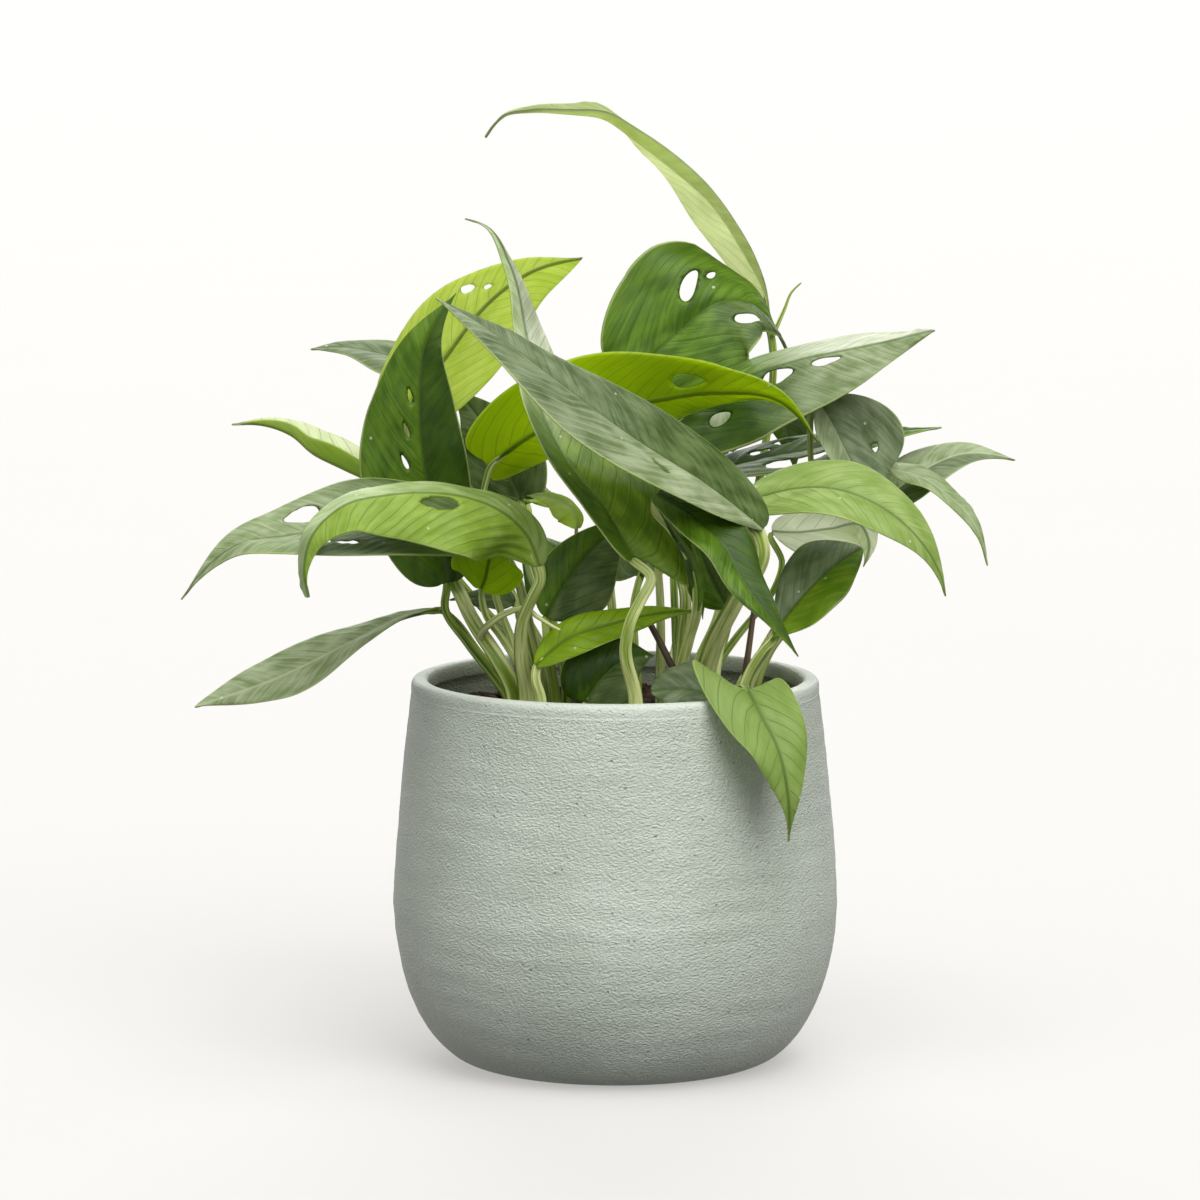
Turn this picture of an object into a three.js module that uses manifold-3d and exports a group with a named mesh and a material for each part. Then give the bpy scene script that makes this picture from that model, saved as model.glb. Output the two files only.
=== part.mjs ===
// A cebu blue pothos with long pointed leaves, planted in a round-bellied pot.
// Every leaf is one solid: a thin waved blade fused to its own stalk, which stands in a hole in the soil.

import * as THREE from 'three';
import { mergeVertices } from 'three/addons/utils/BufferGeometryUtils.js';
import Module from 'manifold-3d';

const wasm = await Module();
wasm.setup();

// Driving dimensions, in millimetres. +Z is up and the origin is the centre of the pot's base.

const POT_HEIGHT = 157;
const POT_FOOT_RADIUS = 56;
const POT_BELLY_RADIUS = 90.3;
const POT_BELLY_HEIGHT = 67;
const POT_SHOULDER_RADIUS = 82.8;
const POT_WALL = 7;
const POT_FLOOR = 10;
const POT_LIP_HEIGHT = 5.5;
const POT_SHOULDER_CURVE = 1.35;
const POT_OUTER_HEIGHTS = [0, 2, 6, 13, 25, 42, POT_BELLY_HEIGHT, 95, 125, POT_HEIGHT - POT_LIP_HEIGHT];
const POT_INNER_HEIGHTS = [POT_FLOOR, 30, POT_BELLY_HEIGHT, 110, POT_HEIGHT - POT_LIP_HEIGHT];
const POT_LIP_ANGLES = [45, 90, 135];
const POT_SIDES = 36;

const SOIL_TOP = 141;
const SOIL_SWELL = 1.2;
const SOIL_SWELL_ACROSS = 9;
const SOIL_SWELL_DEEP = 11;
const SOIL_RINGS = [1, 0.66, 0.33, 0];
const SOIL_GAP = 0.5;
const SOIL_EDGE_GAP = 0.7;
const CLEARANCE = 0.4;

const BLADE_THICKNESS = 0.8;
const STALK_SIDES = 5;
const STALK_STEPS = 6;
const STALK_ROOT = 12;
const STALK_COLLAR = 3;
const ROOT_SWELL = 1.1;
const JOINT_PLACES = [0.05, 0.01];
const JOINT_DEPTH = 0.5;
const HOLE_SIDES = 7;
const HOLE_REACH = 4;
const SAME_POINT = 1e-4;

// The outline of every blade: how it curves in to its tip, how its base lobes reach back and how it waves.

const TIP_CURVE = 1.7;
const LOBE_PLACE = 0.08;
const LOBE_CURVE = 1.5;
const WAVES = 2.5;
const WAVE_START = [2.6, 0.9];
const WAVE_FADE_AT_BASE = 6;
const WAVE_FADE_AT_TIP = 4;
const LEAST_BEND = 1e-4;
const END_SLOPE = 1.5;

// Short steps either side of a point on a blade, as shares of its length and half width.

const STEP_ALONG = 0.02;
const STEP_ACROSS = 0.03;

// Rows run from a blade's base to its tip and columns across it, as shares of its length and half width.

const LARGE = {
  rows: [0, 0.05, 0.15, 0.29, 0.44, 0.6, 0.76, 0.89, 1],
  columns: [-1, -0.62, -0.28, 0, 0.28, 0.62, 1],
};
const MEDIUM = {
  rows: [0, 0.06, 0.2, 0.37, 0.55, 0.73, 0.88, 1],
  columns: [-1, -0.5, 0, 0.5, 1],
};
const SMALL = {
  rows: [0, 0.08, 0.25, 0.46, 0.68, 0.87, 1],
  columns: [-1, -0.5, 0, 0.5, 1],
};

const COLOURS = {
  pot: 0x9da39b,
  soil: 0x3a2a20,
  dark: 0x3f6420,
  grey: 0x86996f,
  light: 0x8fae52,
  yellow: 0x8fb016,
  bark: 0x4a3520,
};
const PLANT_ROUGHNESS = 0.5;
const POT_ROUGHNESS = 0.8;
const SOIL_ROUGHNESS = 0.95;

// Each leaf has a midrib from its base to its tip, the way its upper face looks at stations along the
// midrib, its half widths to the left and right, and its stalk from the base down to the soil.
// Where given, a pair of numbers is for the left and the right half.
// A hole is [share along, share across, length, width, turn from the midrib in degrees].

const LEAVES = [
  {
    name: 'crown',
    colour: 'grey',
    midrib: [[65, 90, 298], [64, 86, 307], [59, 80, 322], [50, 72, 338], [38, 63, 354], [25, 55, 366],
      [11, 48, 376], [-4, 41, 384], [-18, 36, 385], [-35, 31, 385], [-45, 28, 383], [-53, 25, 374]],
    facing: [[9, 3, 3], [9, 1, 4], [6, -2, 6], [-1, -8, 4], [-3, -9, -1]],
    width: [7, 21],
    widest: 0.36,
    point: 1.7,
    lobe: 0,
    fold: -40,
    curl: 10,
    stalk: [[66, 88, 285], [64, 86, 250], [57, 70, 214], [48, 46, 179], [41, 26, 159], [36, 16, 149]],
    stalkRadius: 1.5,
    shoots: [{ radius: 0.9, points: [[66, 86, 289], [71, 88, 300], [74, 89, 307], [78, 89, 311]] }],
  },
  {
    name: 'long',
    colour: 'dark',
    midrib: [[7, -48, 211], [-6, -40, 232], [-21, -28, 250], [-31, -16, 270], [-36, -4, 296],
      [-43, 0, 325], [-52, 1, 340], [-61, 2, 343]],
    facing: [[5, -7, 3], [6, -7, 3], [4, -8, 2]],
    width: [15, 26],
    widest: [0.3, 0.2],
    point: [1.3, 2.4],
    lobe: [0.05, 0.2],
    fold: 28,
    curl: 10,
    stalk: [[14, -52, 203], [10, -54, 195], [6, -56, 187], [4, -55, 177], [8, -50, 154]],
    stalkRadius: 1.9,
  },
  {
    name: 'front',
    colour: 'grey',
    midrib: [[59, -46, 222], [40, -54, 238], [6, -64, 261], [-26, -66, 285], [-49, -62, 302],
      [-71, -54, 315]],
    facing: [[4, -5, 7], [5, -5, 7], [5, -4, 7]],
    width: [26, 26],
    widest: [0.55, 0.3],
    blunt: [0.8, 0.6],
    point: [1.2, 1.4],
    lobe: [0, 0.05],
    holes: [[0.33, -0.38, 8, 2, -30]],
    stalk: [[58, -45, 215], [47, -42, 192], [41, -38, 180], [36, -31, 164], [34, -27, 151]],
    stalkRadius: 3,
  },
  {
    name: 'upright',
    colour: 'dark',
    grid: MEDIUM,
    midrib: [[-68, 0, 195], [-75, -1, 229], [-79, -2, 266], [-76, -2, 294], [-64, 2, 313]],
    facing: [[0, -9, 2], [-1, -9, 1], [-3, -9, 0]],
    width: [27, 18],
    widest: 0.4,
    blunt: 0.5,
    point: [1.5, 1.3],
    lobe: 0.03,
    fold: 12,
    holes: [[0.63, -0.2, 6, 1.6, 20], [0.52, -0.23, 6, 1.6, 20], [0.42, -0.28, 6, 1.6, 20]],
    stalk: [[-69, -4, 185], [-60, -8, 172], [-47, -14, 156], [-43, -18, 150]],
    stalkRadius: 1.6,
  },
  {
    name: 'backlit',
    colour: 'yellow',
    grid: MEDIUM,
    midrib: [[-86, 22, 264], [-69, 24, 286], [-55, 26, 304], [-36, 26, 319], [-13, 22, 326]],
    facing: [[-3, 8, 5], [-3, 8, 5]],
    width: [28, 25],
    widest: [0.4, 0.32],
    point: [0.9, 1.7],
    holes: [[0.54, 0.6, 5, 4, 20], [0.6, 0.34, 3, 2, 20]],
    stalk: [[-84, 20, 258], [-77, 14, 228], [-70, 9, 204], [-64, 4, 192], [-55, -18, 178],
      [-48, -22, 168], [-41, -23, 153]],
    stalkRadius: 2.2,
    shoots: [{
      radius: 1.7,
      points: [[-54, -18, 175], [-51, -31, 182], [-43, -37, 188], [-36, -40, 190], [-31, -43, 187],
        [-26, -45, 184], [-22, -46, 182]],
    }],
  },
  {
    name: 'far_left',
    colour: 'grey',
    grid: SMALL,
    midrib: [[-72, 55, 276], [-91, 58, 282], [-110, 58, 286], [-126, 55, 286]],
    facing: [[-2, -3, 9], [0, -3, 9]],
    width: [22, 14],
    wave: 0.3,
    stalk: [[-66, 64, 266], [-60, 60, 231], [-45, 42, 191], [-25, 18, 149]],
  },
  {
    name: 'left_tip',
    colour: 'light',
    grid: SMALL,
    midrib: [[-98, 30, 234], [-113, 34, 240], [-124, 37, 245], [-133, 40, 252], [-145, 41, 256],
      [-158, 42, 256]],
    facing: [[1, -1, 9], [1, -1, 9]],
    width: [12, 12],
    wave: 0.3,
    stalk: [[-84, 34, 227], [-69, 36, 198], [-52, 32, 178], [-37, 22, 163], [-31, 14, 149]],
    fold: 52,
    curl: 10,
    point: 1.7,
  },
  {
    name: 'big_left',
    colour: 'grey',
    midrib: [[-46, -28, 216], [-78, -40, 221], [-109, -48, 222], [-131, -50, 220], [-150, -50, 216],
      [-173, -46, 194]],
    facing: [[0, -4, 8], [0, -4, 8], [-4, -5, 7]],
    width: [32, 30],
    widest: 0.34,
    blunt: [0.9, 0.6],
    point: [1.7, 1.9],
    fold: 25,
    curl: 25,
    holes: [[0.58, 0.46, 14, 8, 0], [0.53, -0.52, 5, 2, 0], [0.475, -0.6, 8, 2, -15]],
    stalk: [[-42, -20, 205], [-34, -10, 175], [-29, -6, 148]],
    stalkRadius: 1.8,
  },
  {
    name: 'arching',
    colour: 'light',
    midrib: [[-30, -52, 208], [-35, -56, 221], [-48, -62, 233], [-68, -68, 239], [-90, -74, 239],
      [-107, -78, 235], [-119, -80, 223], [-122, -80, 210], [-120, -80, 199]],
    facing: [[2, -9, 4], [0, -6, 8], [-2, -6, 8], [-7, -6, 3]],
    width: [25, 16],
    lobe: [0, 0.03],
    fold: -22,
    curl: 10,
    holes: [[0.41, -0.18, 15, 5, 0]],
    stalk: [[-30, -49, 203], [-33, -48, 196], [-37, -44, 186], [-38, -36, 172], [-36, -28, 153]],
    stalkRadius: 2.2,
    point: [1.6, 0.45],
    widest: [0.34, 0.4],
    blunt: [0.7, 0.6],
    wave: 0.3,
  },
  {
    name: 'low_left',
    colour: 'dark',
    grid: MEDIUM,
    midrib: [[-70, 4, 185], [-86, -2, 182], [-105, -8, 173], [-139, -14, 157], [-170, -18, 147]],
    facing: [[-3, -1, 9], [-3, -4, 8], [-3, -6, 7], [-3, -6, 7]],
    width: [14, 14],
    widest: [0.64, 0.6],
    blunt: [2.2, 1.4],
    lobe: 0,
    stalk: [[-66, 5, 180], [-56, 3, 167], [-47, 0, 156], [-42, -3, 145]],
    stalkRadius: 1.3,
    point: [1.5, 1],
  },
  {
    name: 'over',
    colour: 'yellow',
    midrib: [[-52, 16, 241], [-34, 18, 254], [-10, 18, 263], [15, 14, 268], [42, 8, 272], [67, 0, 269],
      [82, -4, 253]],
    facing: [[-4, 9, 3], [0, 9, 4], [4, 6, 7]],
    width: [15, 26],
    widest: [0.25, 0.33],
    blunt: [0.6, 0.4],
    point: [1.7, 1.5],
    lobe: 0.06,
    holes: [[0.6, 0.34, 13, 6, 0]],
    stalk: [[-53, 14, 234], [-51, 4, 204], [-48, 0, 188], [-43, -4, 175], [-38, -10, 161],
      [-33, -14, 149]],
    stalkRadius: 1.2,
  },
  {
    name: 'fenestrated',
    colour: 'dark',
    midrib: [[9, 49, 277], [25, 53, 292], [44, 59, 305], [56, 66, 304], [66, 72, 294], [73, 77, 281]],
    facing: [[-2, -9, 0], [0, -9, 3], [4, -4, 7], [7, 0, 6]],
    width: [35, 31],
    widest: [0.4, 0.35],
    blunt: [0.7, 1],
    point: [2.7, 1.2],
    lobe: 0.12,
    holes: [[0.42, -0.36, 13, 5, 48], [0.6, 0.5, 16, 5, -20], [0.51, -0.42, 5, 2, 45]],
    stalk: [[6, 44, 266], [8, 32, 243], [13, 16, 223], [21, 6, 210], [28, 0, 192], [27, -3, 172],
      [25, -6, 152]],
    stalkRadius: 1.8,
  },
  {
    name: 'big_right',
    colour: 'dark',
    grid: MEDIUM,
    midrib: [[24, 24, 257], [51, 26, 276], [75, 24, 284], [102, 20, 290], [130, 14, 297]],
    facing: [[-2, -5.6, 8], [-2, -5.6, 8]],
    width: [22, 29],
    widest: [0.55, 0.32],
    blunt: [0.9, 0.6],
    point: 1.1,
    fold: -18,
    curl: 10,
    holes: [[0.42, 0.17, 13, 6, 0], [0.6, 0.16, 12, 3, 0], [0.165, 0.43, 9, 5, 0]],
    stalk: [[22, 26, 251], [23, 20, 219], [24, 14, 191], [25, 9, 167], [26, 5, 151]],
    stalkRadius: 1.2,
  },
  {
    name: 'grey_right',
    colour: 'grey',
    grid: SMALL,
    midrib: [[83, 30, 267], [89, 27, 257], [94, 24, 247], [100, 20, 235], [108, 16, 224]],
    facing: [[3, -8, 5], [4, -8, 5], [5, -7, 4]],
    width: [30, 10],
    widest: [0.45, 0.4],
    lobe: 0,
    holes: [[0.52, -0.45, 3.5, 3, 0]],
    stalk: [[82, 34, 265], [81, 40, 222], [80, 44, 204], [70, 33, 180], [59, 22, 162], [51, 16, 149]],
    stalkRadius: 1.2,
  },
  {
    name: 'light_right',
    colour: 'light',
    grid: MEDIUM,
    midrib: [[57, -14, 231], [74, -20, 236], [93, -28, 235], [115, -34, 223], [127, -36, 208],
      [132, -36, 194]],
    facing: [[1, -5, 8], [3, -6, 8], [7, -5, 5]],
    width: [19, 20],
    widest: 0.36,
    stalk: [[55, -9, 224], [52, -4, 205], [48, -3, 187], [43, -5, 173], [40, -11, 153]],
    stalkRadius: 1.6,
  },
  {
    name: 'far_right',
    colour: 'dark',
    grid: SMALL,
    midrib: [[110, 50, 222], [127, 54, 235], [144, 56, 242], [166, 54, 240]],
    facing: [[0, -4, 8], [1, -4, 8]],
    width: [14, 14],
    wave: 0.3,
    stalk: [[104, 50, 215], [89, 46, 193], [74, 42, 175], [63, 36, 161], [58, 30, 147]],
    stalkRadius: 1.3,
  },
  {
    name: 'drooping_right',
    colour: 'light',
    grid: SMALL,
    midrib: [[109, 42, 238], [126, 38, 234], [137, 32, 227], [147, 28, 216], [153, 26, 199]],
    facing: [[2, -4, 8], [6, -4, 6], [8, -4, 2]],
    width: [9, 9],
    lobe: 0,
    wave: 0.3,
    stalk: [[102, 42, 232], [91, 38, 204], [76, 34, 180], [62, 28, 162], [55, 23, 148]],
    stalkRadius: 1.2,
  },
  {
    name: 'slitted',
    colour: 'dark',
    grid: MEDIUM,
    midrib: [[45, 50, 237], [72, 56, 242], [97, 60, 247], [136, 62, 253]],
    facing: [[-1, -2, 9], [-1, -2, 9]],
    width: [18, 26],
    wave: 0.3,
    holes: [[0.33, -0.62, 9, 4, 0], [0.2, -0.36, 8, 2.5, 0], [0.34, 0.6, 30, 8, 0]],
    stalk: [[44, 48, 229], [46, 44, 200], [42, 38, 176], [34, 32, 158], [31, 26, 148]],
  },
  {
    name: 'silver',
    colour: 'grey',
    grid: SMALL,
    midrib: [[64, 20, 214], [74, 24, 213], [88, 28, 214], [101, 31, 215], [104, 31, 209], [102, 30, 198]],
    facing: [[-1, -6, 7], [-1, -6, 7], [4, -7, 3]],
    width: [13, 17],
    lobe: 0,
    stalk: [[68, 16, 202], [64, 12, 190], [55, 8, 179], [49, 5, 172], [42, 2, 162], [38, -1, 152]],
    stalkRadius: 1.2,
  },
  {
    name: 'rolled',
    colour: 'dark',
    grid: SMALL,
    midrib: [[62, -18, 174], [74, -16, 190], [87, -10, 202], [100, -4, 210]],
    facing: [[-5, -7, 2], [-5, -7, 3]],
    width: [18, 16],
    widest: [0.66, 0.5],
    blunt: [1.6, 1.1],
    point: 0.8,
    lobe: 0,
    stalk: [[60, -18, 171], [55, -19, 164], [51, -20, 154]],
    stalkRadius: 1.5,
  },
  {
    name: 'glossy',
    colour: 'dark',
    grid: SMALL,
    midrib: [[16, -42, 236], [31, -54, 228], [43, -64, 217], [50, -70, 204], [61, -74, 190],
      [72, -74, 175]],
    facing: [[4, -7, 5], [4, -8, 4], [5, -8, 3]],
    width: [14, 11],
    lobe: 0.03,
    stalk: [[16, -46, 230], [22, -52, 223], [29, -55, 212], [32, -54, 201], [32, -50, 190],
      [29, -43, 178], [25, -35, 157]],
    stalkRadius: 1.7,
    stalkSteps: 12,
    sheath: {
      grid: SMALL,
      midrib: [[32, -51, 190], [32, -55, 201], [29, -56, 212], [22, -53, 223], [17, -48, 230]],
      facing: [[-2, -9, 2], [-2, -9, 2]],
      width: [3.2, 3.2],
      lobe: 0,
    },
  },
  {
    name: 'over_rim',
    colour: 'light',
    grid: SMALL,
    midrib: [[52, -68, 161], [57, -76, 152], [63, -82, 141], [67, -86, 124], [68, -84, 103]],
    facing: [[2, -6, 7], [4, -8, 4], [4, -9, 1]],
    width: [18, 19],
    widest: [0.16, 0.16],
    blunt: [0.3, 0.3],
    point: [1.7, 2],
    lobe: [0.1, 0.35],
    stalk: [[51, -60, 161], [47, -50, 159], [42, -42, 155]],
  },
  {
    name: 'rumpled',
    colour: 'grey',
    grid: SMALL,
    midrib: [[39, -57, 156], [30, -53, 159], [21, -51, 159], [14, -50, 158]],
    facing: [[0, -7, 7], [-2, -7, 7]],
    width: [10, 13],
    stalk: [[42, -52, 154], [43, -48, 152]],
    stalkRadius: 1.2,
    widest: 0.5,
    point: 0.7,
    wave: 1.2,
  },
  {
    name: 'bright_low',
    colour: 'yellow',
    grid: SMALL,
    midrib: [[-32, -42, 167], [-20, -40, 177], [-2, -36, 183], [18, -34, 187], [35, -32, 188]],
    facing: [[1, -7, 6], [1, -7, 6]],
    width: [8, 9],
    lobe: 0,
    stalk: [[-32, -41, 163], [-30, -40, 154]],
    stalkRadius: 1.8,
  },
  {
    name: 'dark_center',
    colour: 'dark',
    grid: SMALL,
    midrib: [[-28, -22, 184], [-19, -20, 199], [-9, -16, 211], [9, -8, 224]],
    facing: [[2, -8, 4], [1, -8, 4]],
    width: [13, 19],
    lobe: 0,
    stalk: [[-28, -22, 178], [-26, -21, 165], [-24, -19, 150]],
  },
  {
    name: 'small_yellow',
    colour: 'yellow',
    grid: SMALL,
    midrib: [[-54, -28, 196], [-52, -31, 201], [-51, -34, 206], [-49, -37, 215]],
    facing: [[0, -9, 2], [0, -9, 2]],
    width: [15, 15],
    widest: 0.55,
    lobe: 0,
    stalk: [[-52, -24, 185], [-46, -22, 176], [-40, -21, 166], [-36, -19, 150]],
    stalkRadius: 1.3,
  },
  {
    name: 'dark_low',
    colour: 'dark',
    grid: SMALL,
    midrib: [[-41, 14, 185], [-49, 16, 187], [-57, 18, 187], [-68, 20, 186]],
    facing: [[0, -6, 8], [0, -6, 8]],
    width: [7, 7],
    lobe: 0,
    stalk: [[-39, 13, 178], [-34, 9, 165], [-29, 5, 151]],
    stalkRadius: 1.2,
  },
  {
    name: 'dark_behind',
    colour: 'dark',
    grid: SMALL,
    midrib: [[-39, 40, 225], [-47, 44, 243], [-57, 48, 259], [-67, 50, 271]],
    facing: [[-2, -9, 3], [-2, -9, 3]],
    width: [17, 17],
    stalk: [[-38, 36, 217], [-29, 22, 186], [-20, 8, 150]],
  },
  {
    name: 'pot_mouth',
    colour: 'dark',
    grid: SMALL,
    midrib: [[-12, -34, 151], [-6, -34, 160], [4, -32, 168], [16, -26, 169]],
    facing: [[0, -8, 4], [0, -8, 4]],
    width: [17, 17],
    stalk: [[-13, -33, 148]],
  },
  {
    name: 'little_curl',
    colour: 'yellow',
    grid: SMALL,
    midrib: [[-15, 2, 217], [-17, 2, 225], [-23, 2, 229], [-36, 0, 231]],
    facing: [[3, -4, 7], [2, -5, 8], [0, -4, 8]],
    width: [9, 9],
    lobe: 0,
    fold: -20,
    curl: 10,
    stalk: [[-14, 2, 206], [-13, 2, 180], [-11, 0, 151]],
    stalkRadius: 1.2,
  },
  {
    name: 'grey_center',
    colour: 'grey',
    grid: SMALL,
    midrib: [[45, -12, 187], [40, -14, 196], [35, -14, 208], [31, -12, 220]],
    facing: [[-2, -9, 2], [-2, -9, 2]],
    width: [11, 11],
    lobe: 0,
    stalk: [[45, -14, 185], [40, -20, 171], [34, -22, 155]],
    stalkRadius: 1.2,
  },
  {
    name: 'under_front',
    colour: 'dark',
    grid: SMALL,
    midrib: [[16, -6, 230], [10, -2, 238], [4, 2, 247], [-2, 6, 257]],
    facing: [[1, -9, 3], [1, -9, 3]],
    width: [15, 15],
    stalk: [[16, -8, 218], [18, -12, 190], [18, -16, 152]],
  },
  {
    name: 'back_top',
    colour: 'dark',
    grid: SMALL,
    midrib: [[-6, 62, 248], [-10, 90, 260], [-15, 120, 255], [-21, 150, 235]],
    facing: [[0, 3, 9], [0, 6, 7]],
    width: [23, 23],
    stalk: [[-6, 58, 240], [-4, 44, 208], [-1, 32, 176], [0, 26, 152]],
  },
  {
    name: 'back_left',
    colour: 'light',
    grid: SMALL,
    midrib: [[-36, 66, 221], [-50, 92, 228], [-66, 116, 221], [-76, 134, 202]],
    facing: [[0, 3, 9], [-2, 6, 6]],
    width: [20, 20],
    stalk: [[-36, 62, 211], [-36, 52, 196], [-28, 42, 178], [-15, 28, 152]],
  },
  {
    name: 'back_right',
    colour: 'grey',
    grid: SMALL,
    midrib: [[46, 98, 240], [60, 118, 255], [72, 136, 249], [78, 152, 225]],
    facing: [[0, 3, 9], [3, 6, 6]],
    width: [22, 22],
    stalk: [[43, 93, 231], [33, 68, 193], [26, 50, 166], [23, 39, 148]],
  },
  {
    name: 'back_low',
    colour: 'dark',
    grid: SMALL,
    midrib: [[-15, 50, 195], [-20, 78, 202], [-30, 104, 192], [-38, 122, 169]],
    facing: [[0, 3, 9], [-1, 8, 4]],
    width: [17, 17],
    stalk: [[-13, 46, 183], [-7, 38, 165], [-5, 32, 149]],
  },
  {
    name: 'back_droop',
    colour: 'grey',
    grid: SMALL,
    midrib: [[10, 62, 191], [20, 90, 201], [32, 112, 191], [38, 126, 164]],
    facing: [[0, 3, 9], [2, 8, 4]],
    width: [19, 19],
    stalk: [[8, 56, 181], [8, 46, 164], [9, 40, 148]],
  },
];

const BLADE_DEFAULTS = {
  grid: LARGE,
  widest: 0.32,
  blunt: 0.6,
  point: 1.4,
  lobe: 0.1,
  fold: 18,
  curl: 30,
  wave: 0.6,
  holes: [],
  stalkRadius: 1.4,
  stalkSteps: STALK_STEPS,
  shoots: [],
};

// Bare stems without a blade, from the top down to the soil.

const STEMS = [
  { name: 'old_stem', colour: 'bark', radius: 1.6, points: [[14, -20, 181], [20, -24, 170], [26, -26, 156]] },
  { name: 'twig', colour: 'bark', radius: 1.4, points: [[56, -8, 185], [54, -10, 170], [52, -12, 155]] },
];

// A smooth curve through hand-placed points. It runs on straight before its first point.

class Spine extends THREE.Curve {
  constructor(points) {
    super();
    this.points = points.map((point) => new THREE.Vector3(...point));
    this.spans = this.points.slice(1).map((point, i) => point.distanceTo(this.points[i]));
    this.total = this.spans.reduce((sum, span) => sum + span, 0);
    this.slopes = this.slopesAtPoints();
  }

  slopesAtPoints() {
    const { points, spans } = this;
    const steps = spans.map((span, i) => points[i + 1].clone().sub(points[i]).divideScalar(span));
    const slopes = points.map((point, i) => {
      if (i === 0 || i === spans.length) {
        return new THREE.Vector3();
      }
      const before = steps[i - 1].clone().multiplyScalar(spans[i]);
      const after = steps[i].clone().multiplyScalar(spans[i - 1]);
      return before.add(after).divideScalar(spans[i - 1] + spans[i]);
    });
    const last = spans.length;
    const endSlope = (step, next) => (
      step.clone().multiplyScalar(END_SLOPE).addScaledVector(next, 1 - END_SLOPE)
    );
    slopes[0] = endSlope(steps[0], slopes[1]);
    slopes[last] = endSlope(steps[last - 1], slopes[last - 1]);
    if (last === 1) {
      slopes[0] = steps[0].clone();
      slopes[1] = steps[0].clone();
    }
    return slopes;
  }

  getPoint(share, target = new THREE.Vector3()) {
    let along = share * this.total;
    if (along <= 0) {
      return target.copy(this.points[0]).addScaledVector(this.slopes[0], along);
    }
    let i = 0;
    while (i < this.spans.length - 1 && along > this.spans[i]) {
      along -= this.spans[i];
      i += 1;
    }
    const span = this.spans[i];
    const t = along / span;
    const s = 1 - t;
    target.copy(this.points[i]).multiplyScalar(s * s * (1 + 2 * t));
    target.addScaledVector(this.slopes[i], t * s * s * span);
    target.addScaledVector(this.points[i + 1], t * t * (3 - 2 * t));
    target.addScaledVector(this.slopes[i + 1], -t * t * s * span);
    return target;
  }

  direction(share) {
    const step = 0.001;
    return this.getPoint(share + step).sub(this.getPoint(share - step)).normalize();
  }
}

// A closed geometry as a solid that can be joined and cut, and back.

function solid(geometry) {
  geometry.deleteAttribute('normal');
  geometry.deleteAttribute('uv');
  const merged = mergeVertices(geometry, SAME_POINT);
  const corners = merged.index.array;
  const triangles = [];
  for (let i = 0; i < corners.length; i += 3) {
    const [a, b, c] = corners.slice(i, i + 3);
    if (a !== b && b !== c && c !== a) {
      triangles.push(a, b, c);
    }
  }
  return new wasm.Manifold(new wasm.Mesh({
    numProp: 3,
    vertProperties: merged.attributes.position.array,
    triVerts: new Uint32Array(triangles),
  }));
}

function geometryOf(body) {
  const mesh = body.getMesh();
  const geometry = new THREE.BufferGeometry();
  geometry.setAttribute('position', new THREE.BufferAttribute(mesh.vertProperties, 3));
  geometry.setIndex(new THREE.BufferAttribute(mesh.triVerts, 1));
  geometry.computeVertexNormals();
  return geometry;
}

// The blade as a surface: a point for each share along the midrib and share across the half width.

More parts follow.
